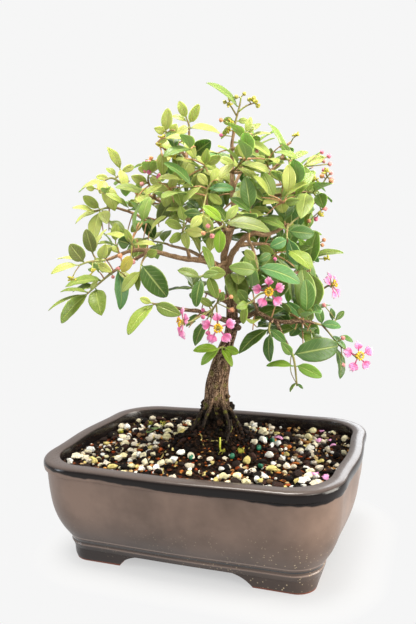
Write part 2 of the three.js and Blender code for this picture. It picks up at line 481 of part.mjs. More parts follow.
// Leafy sprays: the limb each grows from, its green stems in the front view (each after the
// first grows from the first), its leaves, and how many pairs more stand along it.
// A leaf gives where its blade starts, where its tip is, and how wide it shows.
const SPRAYS = {
  spray_left_upper_tip: {
    limb: "left_upper",
    stems: [
      [[121, 183, 20], [112, 178, 18], [104, 181, 15], [97, 189, 12]],
      [[116, 180, 19], [120, 174, 21], [120, 168, 22]],
    ],
    leaves: [
      [120, 168, 107, 147, 9], [119, 168, 125, 190, 9], [119, 182, 106, 168, 6],
      [122, 172, 134, 166, 7], [110, 178, 96, 177, 6], [104, 181, 100, 194, 11], [98, 189, 86, 188, 6],
    ],
    pairs: 1,
  },
  spray_left_middle: {
    limb: "left_middle",
    stems: [
      [[113, 208, 30], [106, 208, 28], [99, 210, 24], [94, 211, 20]],
      [[110, 208, 29], [107, 202, 31], [104, 199, 32]],
    ],
    leaves: [
      [101, 207, 83, 196, 10], [93, 211, 72, 208, 5], [103, 211, 107, 224, 12],
      [109, 197, 106, 187, 8], [113, 206, 122, 199, 8],
    ],
    pairs: 1,
  },
  spray_left_middle_inner: {
    limb: "left_middle",
    stems: [
      [[144, 217, 31], [141, 208, 36], [138, 200, 40]],
    ],
    leaves: [
      [143, 216, 150, 200, 9], [141, 222, 131, 232, 9], [138, 222, 154, 238, 14],
      [130, 196, 128, 206, 8],
    ],
    pairs: 2,
  },
  spray_left_low_outer: {
    limb: "left_main",
    stems: [
      [[106, 260, -28], [97, 261, -29], [88, 262, -31], [80, 265, -33]],
      [[97, 261, -29], [94, 256, -27], [92, 252, -25]],
    ],
    leaves: [
      [92, 255, 86, 229, 13], [95, 250, 107, 229, 4], [84, 262, 70, 244, 15], [84, 262, 57, 259, 4],
      [76, 265, 51, 274, 7], [100, 261, 106, 244, 10], [98, 264, 112, 272, 9],
    ],
    pairs: 0,
  },
  spray_left_low_tip: {
    limb: "left_fork",
    stems: [
      [[110, 274, -7], [103, 280, -9], [95, 287, -12], [87, 294, -15]],
      [[109, 275, -7], [114, 272, -14], [118, 270, -18]],
    ],
    leaves: [
      [100, 277, 65, 287, 8], [87, 289, 60, 292, 4], [83, 295, 48, 311, 3], [86, 296, 61, 323, 13],
      [88, 290, 98, 281, 5], [118, 272, 120, 310, 14], [117, 270, 131, 282, 7],
    ],
    pairs: 1,
  },
  spray_left_inner: {
    limb: "left_main",
    stems: [
      [[133, 247, -30], [131, 242, -34], [128, 238, -38]],
    ],
    leaves: [
      [131, 253, 118, 240, 14], [133, 250, 156, 245, 5], [131, 242, 125, 229, 7],
      [127, 244, 104, 235, 6], [131, 256, 122, 272, 11],
    ],
    pairs: 0,
  },
  spray_left_under: {
    limb: "left_main",
    stems: [
      [[146, 255, -28], [143, 260, -33], [141, 265, -37]],
    ],
    leaves: [
      [142, 263, 167, 297, 23], [140, 272, 122, 292, 11], [140, 275, 138, 291, 6],
      [145, 256, 157, 251, 9],
    ],
    pairs: 0,
  },
  spray_left_bottom: {
    limb: "left_low",
    stems: [
      [[159, 304, -36], [155, 304, -42], [152, 303, -46]],
    ],
    leaves: [
      [153, 305, 128, 335, 12], [156, 305, 181, 315, 14], [151, 303, 140, 298, 7],
    ],
    pairs: 0,
  },
  spray_left_top: {
    limb: "left_upper",
    stems: [
      [[155, 193, 15], [150, 186, 10], [148, 178, 7], [151, 170, 5], [154, 163, 4]],
    ],
    leaves: [
      [149, 184, 131, 176, 10], [150, 178, 162, 184, 9], [150, 172, 138, 168, 7],
      [155, 192, 134, 203, 7],
    ],
    buds: [
      [147, 162, 4], [151, 158, 5], [157, 162, 5], [145, 171, 5], [159, 175, 4], [141, 184, 8],
    ],
    pairs: 1,
  },
  spray_crown_apex: {
    limb: "leader",
    stems: [
      [[234, 129, 3], [236, 120, 3], [238, 112, 2], [240, 104, 2], [241, 97, 2]],
      [[238, 112, 2], [246, 106, 0], [254, 103, -1]],
      [[236, 116, 3], [232, 108, 4], [229, 104, 4]],
    ],
    leaves: [
      [237, 106, 206, 83, 6], [233, 131, 223, 121, 8], [233, 140, 221, 139, 5],
      [236, 128, 248, 121, 6],
    ],
    buds: [
      [250, 102, -1], [254, 98, -1], [257, 105, -1], [227, 103, 4], [230, 99, 4], [238, 97, 2],
      [244, 94, 2],
    ],
    pairs: 0,
  },
  spray_crown_right: {
    limb: "leader",
    stems: [
      [[237, 148, -2], [242, 141, -8], [246, 134, -12]],
    ],
    leaves: [
      [244, 141, 270, 156, 7], [244, 135, 261, 124, 6], [241, 143, 236, 158, 8],
      [246, 132, 251, 117, 7],
    ],
    buds: [
      [257, 151, -14],
    ],
    pairs: 1,
  },
  spray_crown_middle: {
    limb: "leader",
    stems: [
      [[235, 169, -5], [239, 165, -13], [243, 160, -20]],
    ],
    leaves: [
      [240, 162, 263, 173, 7], [237, 171, 258, 181, 7], [236, 166, 218, 158, 8],
      [243, 158, 241, 141, 9],
    ],
    pairs: 1,
  },
  spray_crown_left_top: {
    limb: "crown_riser",
    stems: [
      [[189, 131, 14], [189, 125, 14], [186, 117, 14]],
    ],
    leaves: [
      [190, 122, 199, 104, 9], [186, 121, 172, 116, 5], [188, 128, 173, 134, 8],
      [191, 128, 221, 134, 6], [186, 117, 179, 101, 9],
    ],
    pairs: 0,
  },
  spray_crown_left_end: {
    limb: "crown_left",
    stems: [
      [[172, 138, -8], [168, 134, -10], [165, 130, -11]],
    ],
    leaves: [
      [166, 130, 168, 108, 11], [169, 136, 177, 124, 8], [166, 133, 154, 128, 8],
      [170, 140, 158, 143, 6],
    ],
    pairs: 0,
  },
  spray_crown_left: {
    limb: "crown_left",
    stems: [
      [[191, 160, 2], [194, 154, -6], [196, 147, -12]],
    ],
    leaves: [
      [194, 152, 211, 141, 16], [192, 154, 184, 136, 9], [195, 157, 217, 171, 9],
      [193, 158, 177, 183, 20],
    ],
    pairs: 0,
  },
  spray_crown_inner: {
    limb: "crown_left",
    stems: [
      [[198, 176, 2], [202, 171, -8], [205, 165, -16]],
    ],
    leaves: [
      [203, 170, 216, 186, 11], [204, 166, 221, 156, 9], [200, 172, 192, 190, 9],
      [205, 163, 207, 148, 9],
    ],
    pairs: 1,
  },
  spray_right_top: {
    limb: "right_up",
    stems: [
      [[286, 159, 10], [293, 161, 5], [300, 164, 1], [304, 167, -2]],
    ],
    leaves: [
      [285, 157, 268, 123, 6], [289, 159, 308, 152, 6], [303, 167, 325, 157, 9],
      [290, 162, 291, 190, 14], [296, 163, 313, 194, 15],
    ],
    buds: [
      [322, 152, 1], [329, 156, 1], [324, 161, 1], [330, 164, 1],
    ],
    pairs: 0,
  },
  spray_right_top_inner: {
    limb: "right_up",
    stems: [
      [[268, 172, 12], [268, 166, 5], [267, 160, 0]],
    ],
    leaves: [
      [267, 175, 264, 201, 13], [268, 165, 271, 148, 10], [267, 162, 255, 158, 8],
      [270, 172, 288, 180, 9],
    ],
    pairs: 1,
  },
  spray_right_upper: {
    limb: "right_out",
    stems: [
      [[303, 192, -5], [310, 192, -6], [318, 191, -7]],
      [[313, 192, -6], [318, 200, -8], [321, 210, -9]],
      [[314, 192, -6], [322, 184, -8], [327, 177, -9]],
    ],
    leaves: [
      [306, 194, 301, 219, 18], [320, 191, 324, 208, 13], [308, 191, 312, 176, 9],
    ],
    buds: [
      [324, 170, -9], [331, 172, -9], [332, 179, -9], [322, 176, -9], [321, 214, -9], [325, 209, -9],
      [316, 219, -9], [309, 221, -9],
    ],
    pairs: 1,
  },
  spray_right_upper_inner: {
    limb: "right_out",
    stems: [
      [[281, 197, -6], [281, 201, -14], [284, 203, -20]],
    ],
    leaves: [
      [280, 199, 283, 213, 13], [281, 196, 290, 184, 9], [277, 200, 262, 196, 8],
      [286, 203, 300, 200, 8],
    ],
    pairs: 1,
  },
  spray_front_pale: {
    limb: "front_reach",
    stems: [
      [[225, 227, -45], [224, 224, -52], [222, 221, -58]],
      [[224, 226, -49], [214, 230, -52], [208, 232, -54]],
    ],
    leaves: [
      [227, 223, 270, 232, 13], [221, 221, 203, 206, 10], [222, 228, 219, 253, 12],
      [226, 220, 238, 205, 9],
    ],
    buds: [
      [204, 233, -55], [212, 236, -55], [208, 226, -55],
    ],
    pairs: 0,
  },
  spray_centre: {
    limb: "centre_front",
    stems: [
      [[206, 196, -25], [207, 190, -27], [211, 182, -29]],
      [[206, 196, -25], [204, 205, -34], [203, 215, -41]],
    ],
    leaves: [
      [210, 189, 234, 189, 9], [206, 193, 188, 196, 9], [209, 186, 198, 174, 9],
      [206, 197, 222, 204, 9], [211, 181, 218, 168, 8], [203, 211, 184, 213, 9],
      [205, 213, 212, 233, 10], [203, 217, 190, 228, 10],
    ],
    pairs: 0,
  },
  spray_left_riser: {
    limb: "left_riser",
    stems: [
      [[183, 234, -29], [183, 229, -31], [184, 223, -33]],
    ],
    leaves: [
      [182, 228, 166, 221, 9], [182, 235, 170, 243, 9], [186, 230, 188, 249, 9],
      [185, 231, 204, 233, 11], [184, 221, 180, 206, 9],
    ],
    pairs: 0,
  },
  spray_left_upper_inner: {
    limb: "left_upper",
    stems: [
      [[171, 202, 9], [172, 195, 1], [170, 189, -4]],
    ],
    leaves: [
      [168, 192, 165, 207, 12], [172, 196, 158, 222, 14], [171, 188, 176, 172, 9],
      [170, 190, 156, 188, 8],
    ],
    pairs: 1,
  },
  spray_front_low: {
    limb: "front_low",
    stems: [
      [[211, 272, -42], [206, 274, -48], [200, 277, -53]],
    ],
    leaves: [
      [211, 271, 203, 246, 9], [207, 273, 226, 273, 13], [201, 280, 219, 273, 8],
      [201, 280, 196, 307, 12], [199, 277, 178, 270, 9], [209, 277, 217, 298, 11],
    ],
    pairs: 0,
  },
  spray_front_right: {
    limb: "front_right",
    stems: [
      [[256, 260, -48], [257, 265, -52], [258, 269, -55]],
    ],
    leaves: [
      [255, 270, 229, 267, 14], [255, 262, 245, 250, 9], [260, 268, 300, 283, 16],
      [257, 262, 271, 254, 9],
    ],
    pairs: 0,
  },
  spray_right_middle_upper: {
    limb: "right_big",
    stems: [
      [[288, 224, -22], [287, 231, -27], [287, 237, -31]],
      [[287, 226, -23], [296, 219, -22], [305, 214, -21]],
    ],
    leaves: [
      [286, 230, 314, 234, 14], [285, 229, 257, 219, 8], [286, 240, 270, 247, 12],
      [289, 240, 298, 265, 14], [303, 214, 314, 206, 7],
    ],
    pairs: 0,
  },
  spray_right_middle_inner: {
    limb: "right_reach",
    stems: [
      [[272, 248, -4], [274, 251, -12], [275, 255, -18]],
    ],
    leaves: [
      [275, 252, 286, 246, 8], [274, 254, 260, 246, 9], [276, 256, 292, 302, 9],
      [273, 257, 262, 266, 9],
    ],
    pairs: 0,
  },
  spray_right_tip: {
    limb: "right_reach",
    stems: [
      [[304, 253, 10], [311, 258, 8], [311, 265, 5], [310, 271, 2]],
      [[306, 254, 10], [313, 248, 8], [318, 244, 7]],
    ],
    leaves: [
      [310, 274, 314, 309, 24], [312, 258, 344, 253, 6], [309, 252, 319, 262, 7],
      [304, 250, 298, 238, 8], [308, 264, 297, 272, 8],
    ],
    buds: [
      [318, 240, 6], [322, 245, 6], [324, 240, 6],
    ],
    pairs: 0,
  },
  spray_right_low_inner: {
    limb: "right_low_rise",
    stems: [
      [[252, 302, -36], [249, 303, -40], [246, 305, -43]],
    ],
    leaves: [
      [248, 302, 236, 308, 9], [246, 306, 243, 324, 8], [247, 301, 238, 290, 10],
    ],
    pairs: 0,
  },
  spray_right_low_under: {
    limb: "right_low",
    stems: [
      [[270, 323, -27], [269, 329, -31], [270, 334, -34]],
    ],
    leaves: [
      [268, 327, 239, 354, 13], [270, 335, 270, 362, 11], [271, 330, 286, 343, 9],
    ],
    pairs: 0,
  },
  spray_right_low_giant: {
    limb: "right_low_drop",
    stems: [
      [[290, 350, -35], [293, 356, -37], [295, 366, -38], [297, 386, -38]],
    ],
    leaves: [
      [295, 354, 338, 346, 24], [298, 366, 322, 377, 12], [292, 366, 266, 366, 7],
      [290, 352, 281, 342, 9], [296, 383, 290, 392, 3], [297, 384, 303, 389, 3],
    ],
    pairs: 0,
  },
  spray_right_low_middle: {
    limb: "right_low_back",
    stems: [
      [[303, 322, 8], [304, 318, 13], [304, 312, 17]],
    ],
    leaves: [
      [303, 313, 303, 294, 17], [302, 316, 287, 302, 10], [306, 321, 318, 338, 14],
      [302, 320, 290, 336, 12],
    ],
    pairs: 1,
  },
  spray_right_low_tip: {
    limb: "right_low",
    stems: [
      [[314, 323, -21], [324, 325, -18], [332, 323, -16], [336, 320, -15]],
      [[322, 325, -19], [330, 334, -19], [336, 342, -20], [341, 347, -20]],
    ],
    leaves: [
      [318, 325, 341, 327, 9], [333, 322, 331, 308, 6], [336, 320, 344, 311, 6],
      [322, 323, 315, 304, 9], [336, 348, 340, 379, 8], [333, 332, 347, 354, 5],
      [341, 336, 353, 342, 5],
    ],
    buds: [
      [343, 338, -24], [343, 365, -24],
    ],
    pairs: 0,
  },
  spray_trunk: {
    limb: "trunk",
    stems: [
      [[223, 347, -16], [222, 347, -20], [219, 348, -23]],
    ],
    leaves: [
      [218, 349, 193, 351, 9], [218, 350, 201, 365, 9], [223, 345, 239, 353, 9],
      [222, 350, 232, 367, 7],
    ],
    pairs: 0,
  },
  spray_left_low_front: {
    limb: "left_low",
    stems: [
      [[210, 313, -26], [213, 309, -34], [217, 303, -40]],
    ],
    leaves: [
      [205, 322, 195, 346, 11], [212, 306, 200, 298, 8], [216, 302, 224, 292, 8],
    ],
    buds: [
      [219, 291, -44], [231, 297, -44], [232, 310, -44], [203, 317, -44], [208, 333, -46],
    ],
    pairs: 0,
  },
  spray_back_low: {
    limb: "back_low",
    stems: [
      [[203, 291, 34], [196, 289, 41], [189, 288, 48]],
    ],
    leaves: [],
    pairs: 3,
  },
  spray_back_low_right: {
    limb: "back_low_right",
    stems: [
      [[273, 283, 32], [281, 280, 39], [289, 278, 46]],
    ],
    leaves: [],
    pairs: 3,
  },
  spray_back_left: {
    limb: "back_left",
    stems: [
      [[167, 244, 33], [158, 242, 40], [150, 241, 47]],
    ],
    leaves: [],
    pairs: 3,
  },
  spray_back_right: {
    limb: "back_right",
    stems: [
      [[281, 226, 36], [289, 223, 43], [297, 221, 50]],
    ],
    leaves: [],
    pairs: 3,
  },
  spray_back_middle: {
    limb: "back_middle",
    stems: [
      [[212, 215, 41], [209, 210, 49], [206, 206, 57]],
    ],
    leaves: [],
    pairs: 3,
  },
  spray_back_top: {
    limb: "back_top",
    stems: [
      [[248, 158, 33], [250, 152, 39], [252, 147, 45]],
    ],
    leaves: [],
    pairs: 3,
  },
  spray_back_top_left: {
    limb: "back_top_left",
    stems: [
      [[175, 173, 35], [169, 168, 41], [164, 164, 47]],
    ],
    leaves: [],
    pairs: 3,
  },
  spray_back_top_right: {
    limb: "back_top_right",
    stems: [
      [[288, 182, 39], [295, 179, 44], [301, 176, 49]],
    ],
    leaves: [],
    pairs: 3,
  },
};

// Open flowers: the spray whose stem carries each, its middle, and which way it faces
// (across, toward the eye, up)
const FLOWERS = {
  flower_centre: ["spray_right_low_inner", [268, 292, -42], [0.1, 1, 0.15]],
  flower_left: ["spray_left_low_front", [218, 327, -48], [0, 1, -0.1]],
  flower_left_side: ["spray_left_low_front", [184, 322, -44], [-1, 0.35, 0.1]],
  flower_right: ["spray_right_low_tip", [358, 356, -30], [0.25, 1, 0.2]],
  flower_behind: ["spray_right_low_middle", [331, 285, 14], [0.8, 0.5, 0.35]],
};
const PETAL_COUNT = 5;

// Things to keep clear of: points with a radius, and the node they belong to
const obstacles = [];

function keepClear(node, points, radius) {
  for (const point of points) obstacles.push({ node, point, radius });
}

function lineSamples(line, spacing) {
  const steps = Math.max(2, Math.ceil(lengthOf(line) / spacing));
  return Array.from({ length: steps + 1 }, (_, k) => pointAlong(line, k / steps).point);
}

// Clear when no obstacle of another node is near, and no leaf of the same node crosses its blade
function isClear(node, samples) {
  return samples.every((sample) => obstacles.every((obstacle) => {
    const isLeaf = obstacle.radius === 0;
    if (obstacle.node === node && !isLeaf) return true;
    let room = isLeaf ? LEAF_CLEARANCE : obstacle.radius + TWIG_CLEARANCE;
    if (obstacle.node === node) room = BLADE_CLEARANCE;
    return sample.distanceTo(obstacle.point) > room;
  }));
}

// A leaf: petiole from the stem to the blade's start, then an arched, folded blade
const BLADE_STATIONS = [
  // share of the blade, share of its half width
  [0, 0.2],
  [0.3, 0.95],
  [0.71, 0.84],
];
const SMALL_STATION = [0.5, 1];

function bladePoint(leaf, share) {
  const rise = 4 * leaf.arch * share * (1 - share);
  return leaf.start.clone().lerp(leaf.tip, share).addScaledVector(leaf.face, rise);
}

function bladeHalfWidth(leaf, share) {
  return leaf.halfWidth * Math.sqrt(Math.sin(Math.PI * Math.min(1, share * 0.96 + 0.02)));
}

function leafSamples(leaf) {
  const samples = [];
  for (let i = 1; i <= 7; i += 1) {
    const share = i / 7;
    const half = i === 7 ? 0 : bladeHalfWidth(leaf, share);
    for (const side of i === 7 ? [0] : [-1, -0.5, 0, 0.5, 1]) {
      samples.push(bladePoint(leaf, share).addScaledVector(leaf.side, side * half)
        .addScaledVector(leaf.face, Math.abs(side) * half * LEAF_FOLD));
    }
  }
  return samples;
}

// The blade's section is a shallow keel: two edges and the midrib below them
function leafSolid(leaf) {
  const ring = (middle, half, keel) => [
    middle.clone().addScaledVector(leaf.side, half).addScaledVector(leaf.face, keel / 3),
    middle.clone().addScaledVector(leaf.face, -keel),
    middle.clone().addScaledVector(leaf.side, -half).addScaledVector(leaf.face, keel / 3),
  ];
  const small = leaf.tip.distanceTo(leaf.start) < SMALL_BLADE;
  const first = leaf.root.distanceTo(leaf.start) > SHORT_PETIOLE ? 0 : 1;
  const stations = small ? [SMALL_STATION] : BLADE_STATIONS.slice(first);
  const rings = [ring(leaf.root, PETIOLE_ROOT, PETIOLE_ROOT)];
  for (const [share, width] of stations) {
    rings.push(ring(bladePoint(leaf, share), Math.max(PETIOLE_RADIUS, leaf.halfWidth * width), LEAF_KEEL));
  }
  rings.push([leaf.tip]);
  return loft(rings);
}

// Face of a leaf that lies along a direction: square to it, and as near as can be to a wish
function faceToward(along, wish) {
  return wish.clone().addScaledVector(along, -wish.dot(along)).normalize();
}

function makeLeaf(root, start, tip, halfWidth, face) {
  const along = tip.clone().sub(start).normalize();
  const length = tip.distanceTo(start);
  return { root, start, tip, halfWidth, face, side: along.clone().cross(face), arch: LEAF_ARCH * length };
}

// A leaf that shows in the front view. Where it shows short for its width its tip comes nearer
// or goes back, and where it shows narrow its face turns up.
function pickedLeaf(grips, depthOf, [x0, y0, x1, y1, width], lean, depthShift) {
  const depth = depthOf(x0, y0);
  let start = seen(x0, y0, depth);
  const root = nearestOn(grips, start);
  const flatTip = seen(x1, y1, depth);
  const shown = flatTip.distanceTo(start);
  const scale = start.distanceTo(EYE) / VIEW_FOCUS;
  const shownWidth = width * scale;
  const length = Math.max(shown, (shownWidth / LEAF_ASPECT) * 0.9);
  const back = Math.sqrt(Math.max(0, length * length - shown * shown));
  const tip = seen(x1, y1, depth - back + lean * shown + depthShift);
  const petiole = start.clone().sub(root);
  if (petiole.dot(tip.clone().sub(root)) < 0.6 * petiole.length() * tip.distanceTo(root)) {
    start = root.clone().addScaledVector(tip.clone().sub(root).normalize(), STRAIGHT_PETIOLE);
  }
  const along = tip.clone().sub(start).normalize();
  const fullWidth = Math.max(shownWidth, Math.min(length * LEAF_ASPECT * 0.86, shownWidth * 2.6));
  const turn = Math.acos(Math.min(1, shownWidth / fullWidth));
  const front = faceToward(along, EYE.clone().sub(start).normalize());
  const over = faceToward(along, up.clone().addScaledVector(away, 0.02));
  const sideways = along.clone().cross(front);
  const sign = sideways.dot(over) >= 0 ? 1 : -1;
  const face = turned(front, turn, sideways, sign);
  return makeLeaf(root, start, tip, fullWidth / 2, face);
}

const DEPTH_TRIES = [0, -4, 4, -8, 8, -13, 13, -18, 18];

// A leaf of a pair set by rule on a stem
function ruledLeaf(stem, share, turn, length) {
  const { point, along } = pointAlong(stem, share);
  const first = faceToward(along, up);
  const second = along.clone().cross(first);
  const out = turned(first, turn, second, 1);
  const way = along.clone().multiplyScalar(0.55).addScaledVector(out, 0.85)
    .addScaledVector(up, 0.1).normalize();
  const start = point.clone().addScaledVector(way, 2.6);
  const tip = start.clone().addScaledVector(way, length);
  const face = faceToward(way, up.clone().addScaledVector(along, 0.3).addScaledVector(away, -0.3));
  return makeLeaf(point, start, tip, (length * LEAF_ASPECT) / 2, face);
}

const TURN_TRIES = [0, 35, -35, 70, -70];
const PAIR_LEAF_SHORT = 15;
const PAIR_LEAF_LONG = 23;

// Everything is laid out before any leaf, so that each leaf can keep clear of it
const sprayLines = {};
for (const [name, spray] of Object.entries(SPRAYS)) {
  const stems = spray.stems.map((stem) => stem.map((pick) => seen(...pick)));
  const grips = [[pointAlong(stems[0], 0.25).point, ...stems[0].slice(1)]];
  for (const stem of stems.slice(1)) {
    stem[0] = nearestOn([grips[0]], stem[0]);
    grips.push([pointAlong(stem, 0.25).point, ...stem.slice(1)]);
  }
  const peg = [nearestOn([WOOD_LINES[spray.limb]], stems[0][0]), stems[0][0]];
  sprayLines[name] = { stems, grips, peg, buds: [] };
}

TRUNK.forEach(([, , , radius], i) => keepClear("wood", [trunkLine[i]], radius));
for (const [name, [, startRadius, endRadius]] of Object.entries(LIMBS)) {
  keepClear("wood", lineSamples(WOOD_LINES[name], 1.5), (startRadius + endRadius) / 2);
}
keepClear("wood", lineSamples(trunkLine.slice(4), 2), 3);
keepClear("wood", lineSamples(leaderLine, 1.5), 1.6);
for (const [name, { stems, peg }] of Object.entries(sprayLines)) {
  keepClear("wood", lineSamples(peg, 1.5), STEM_RADIUS);
  for (const stem of stems) keepClear(name, lineSamples(stem, 1.5), STEM_RADIUS);
}

// Flowers
const flowerLayouts = Object.entries(FLOWERS).map(([name, [carrier, place, facing]]) => {
  const middle = seen(...place);
  const face = across.clone().multiplyScalar(facing[0]).addScaledVector(away, -facing[1])
    .addScaledVector(up, facing[2]).normalize();
  const top = faceToward(face, up);
  const side = top.clone().cross(face);
  const stalkStart = nearestOn(sprayLines[carrier].grips, middle);
  const stalkEnd = middle.clone().addScaledVector(face, -1.2 - TOUCH_GAP);
  const bend = stalkStart.clone().lerp(stalkEnd, 0.6).addScaledVector(face, -4).addScaledVector(up, 1.5);
  const stalk = [stalkStart, bend, stalkEnd.clone().addScaledVector(face, -2.4), stalkEnd];
  return { name, carrier, middle, face, top, side, stalk };
});

function petalDirection(flower, k) {
  const turn = (2 * Math.PI * k) / PETAL_COUNT;
  return turned(flower.top, turn, flower.side, 1);
}

// Petal: a narrow claw that widens into a cupped fan
const PETAL_STATIONS = [
  // share of the radius, half width, lift toward the front
  [0.08, 0.7, 0],
  [0.5, 0.8, 1.2],
  [0.82, 3.4, 2],
  [1, 2.2, 0.6],
];

function petalSolid(flower, k) {
  const out = petalDirection(flower, k);
  const side = out.clone().cross(flower.face);
  return loft(PETAL_STATIONS.map(([share, half, rise]) => {
    const middle = flower.middle.clone()
      .addScaledVector(out, share * PETAL_RADIUS)
      .addScaledVector(flower.face, rise);
    return [
      middle.clone().addScaledVector(side, half).addScaledVector(flower.face, 0.3),
      middle.clone().addScaledVector(flower.face, -0.5),
      middle.clone().addScaledVector(side, -half).addScaledVector(flower.face, 0.3),
    ];
  }));
}

// The small disc that the petals stand on, a corner between every two of them
function petalHub(flower) {
  return loft([[-0.6, 2.1], [0.6, 1.9]].map(([height, radius]) =>
    Array.from({ length: PETAL_COUNT }, (_, k) => flower.middle.clone()
      .addScaledVector(petalDirection(flower, -k - 0.5), radius).addScaledVector(flower.face, height))));
}

for (const flower of flowerLayouts) {
  for (let k = 0; k < PETAL_COUNT; k += 1) {
    const out = petalDirection(flower, k);
    const side = out.clone().cross(flower.face);
    const samples = [[0.35, 0], [0.68, -0.8], [0.68, 0], [0.68, 0.8], [0.95, -0.8], [0.95, 0], [0.95, 0.8]]
      .map(([share, across_]) => flower.middle.clone().addScaledVector(out, share * PETAL_RADIUS)
        .addScaledVector(side, across_ * 3.9).addScaledVector(flower.face, 1.4));
    keepClear(flower.name, samples, 1);
  }
  keepClear(flower.name, [flower.middle], 3);
  keepClear(flower.carrier, lineSamples(flower.stalk, 1.5), STEM_RADIUS * 0.8);
}

// Buds stand on short stalks from the nearest stem
for (const [name, spray] of Object.entries(SPRAYS)) {
  const { grips, buds } = sprayLines[name];
  for (const pick of spray.buds ?? []) {
    const aim = seen(...pick);
    const root = nearestOn(grips, aim);
    const way = aim.clone().sub(root).normalize();
    const place = root.clone().addScaledVector(way, Math.max(aim.distanceTo(root), BUD_RADIUS * 1.8));
    buds.push({ place, root });
    keepClear(name, [place], BUD_RADIUS);
    keepClear(name, lineSamples([buds.at(-1).root, place], 1.5), 0.5);
  }
}

// Fruit: one green cherry, hanging from its own short stalk beside the trunk
const FRUIT_PLACE = [252, 182, -6];
const fruitMiddle = seen(...FRUIT_PLACE);
keepClear("fruit", [fruitMiddle], FRUIT_RADIUS);

// Leaves: first those that show in the front view, then the pairs between them
const leavesOf = {};
for (const [name, spray] of Object.entries(SPRAYS)) {
  const { grips } = sprayLines[name];
  const draw = seeded(name.length * 31 + spray.leaves.length);
  const picks = spray.stems.flat();
  const depthOf = (x, y) => picks.reduce((best, pick) => {
    const gap = Math.hypot(pick[0] - x, pick[1] - y);
    return gap < best[0] ? [gap, pick[2]] : best;
  }, [Infinity, 0])[1];
  leavesOf[name] = [];
  for (const pick of spray.leaves) {
    const lean = LEAF_LEAN * (draw() - 0.5);
    for (const shift of DEPTH_TRIES) {
      const leaf = pickedLeaf(grips, depthOf, pick, lean, shift);
      const samples = leafSamples(leaf);
      if (isClear(name, samples)) {
        leavesOf[name].push(leaf);
        keepClear(name, samples, 0);
        break;
      }
    }
  }
}
Object.entries(SPRAYS).forEach(([name, spray], index) => {
  const draw = seeded(101 + index);
  const stem = sprayLines[name].stems[0];
  for (let k = 0; k < spray.pairs; k += 1) {
    const share = (k + 0.7) / (spray.pairs + 0.1);
    const base = Math.PI * (0.5 * k + 0.25 + 0.3 * draw());
    for (const half of [0, Math.PI]) {
      const length = THREE.MathUtils.lerp(PAIR_LEAF_SHORT, PAIR_LEAF_LONG, draw());
      for (const turn of TURN_TRIES) {
        const way = base + half + THREE.MathUtils.degToRad(turn);
        const leaf = ruledLeaf(stem, Math.min(share, 0.98), way, length);
        const samples = leafSamples(leaf);
        if (isClear(name, samples)) {
          leavesOf[name].push(leaf);
          keepClear(name, samples, 0);
          break;
        }
      }
    }
  }
});

// Wood: trunk, limbs and the brown peg under each spray, all one body
function makeWood() {
  const rings = [trunkSeatRing(0, 0), ...TRUNK.map((_, i) => trunkRing(i, 0))];
  const parts = [loft(rings), tube(leaderLine, ...LEADER_RADII, 5)];
  const pegs = Object.values(sprayLines).map(({ peg }) => peg);
  for (const [name, [, startRadius, endRadius]] of Object.entries(LIMBS)) {
    const line = WOOD_LINES[name];
    const onward = pegs.findIndex((peg) => peg[0].distanceTo(line.at(-1)) < 0.01);
    const whole = onward < 0 ? line : [...line, ...pegs.splice(onward, 1)[0].slice(1)];
    parts.push(tube(whole, startRadius, endRadius, startRadius > STOUT_LIMB ? 5 : 4));
  }
  for (const peg of pegs) parts.push(tube(peg, STEM_RADIUS + 0.3, STEM_RADIUS + 0.1, SLIM_SIDES));
  parts.push(tube(fruitTwig(), 0.9, 0.7, 4));
  return join(parts);
}

function fruitTwig() {
  const end = fruitMiddle.clone().addScaledVector(up, 7);
  return [nearestOn([WOOD_LINES.right_up, WOOD_LINES.leader], end), end];
}

// Spray: green stems, their leaves, flower stalks and buds, all one body
function makeSpray(name) {
  const { stems, peg, buds } = sprayLines[name];
  const pegWay = peg[1].clone().sub(peg[0]).normalize();
  const main = [peg[1].clone().addScaledVector(pegWay, TOUCH_GAP), ...stems[0].slice(1)];
  const parts = [tube(main, STEM_RADIUS, STEM_RADIUS * 0.8, SLIM_SIDES, pegWay)];
  for (const stem of stems.slice(1)) {
    parts.push(tube(stem, STEM_RADIUS * 0.9, STEM_RADIUS * 0.8, SLIM_SIDES));
  }
  for (const leaf of leavesOf[name]) parts.push(leafSolid(leaf));
  for (const { place, root } of buds) {
    const way = place.clone().sub(root).normalize();
    const first = faceToward(way, away);
    const second = way.clone().cross(first);
    const ring = (middle, radius) => ringAcross(middle, first, second, SLIM_SIDES, () => radius);
    const neck = place.clone().addScaledVector(way, -BUD_RADIUS);
    parts.push(loft([ring(root, 0.35), ring(neck, 0.4), ring(place, BUD_RADIUS),
      [place.clone().addScaledVector(way, BUD_RADIUS)]]));
  }
  for (const flower of flowerLayouts) {
    if (flower.carrier === name) parts.push(tube(flower.stalk, 0.55, 0.8, SLIM_SIDES));
  }
  return join(parts);
}

// Fruit: a ribbed cherry on a short stalk
function makeFruit() {
  const rings = [[-0.94, 0.4], [-0.5, 0.88], [0, 1], [0.5, 0.88], [0.86, 0.45]].map(([height, width]) =>
    ringAcross(fruitMiddle.clone().addScaledVector(up, height * FRUIT_RADIUS), across, away, 9, (turn) =>
      FRUIT_RADIUS * width * (1 + 0.05 * Math.cos(3 * turn))));
  const stalkTop = fruitTwig()[1].clone().addScaledVector(up, -TOUCH_GAP - 0.7);
  return join([loft(rings), tube([fruitMiddle.clone(), stalkTop], 0.6, 0.6, 5)]);
}

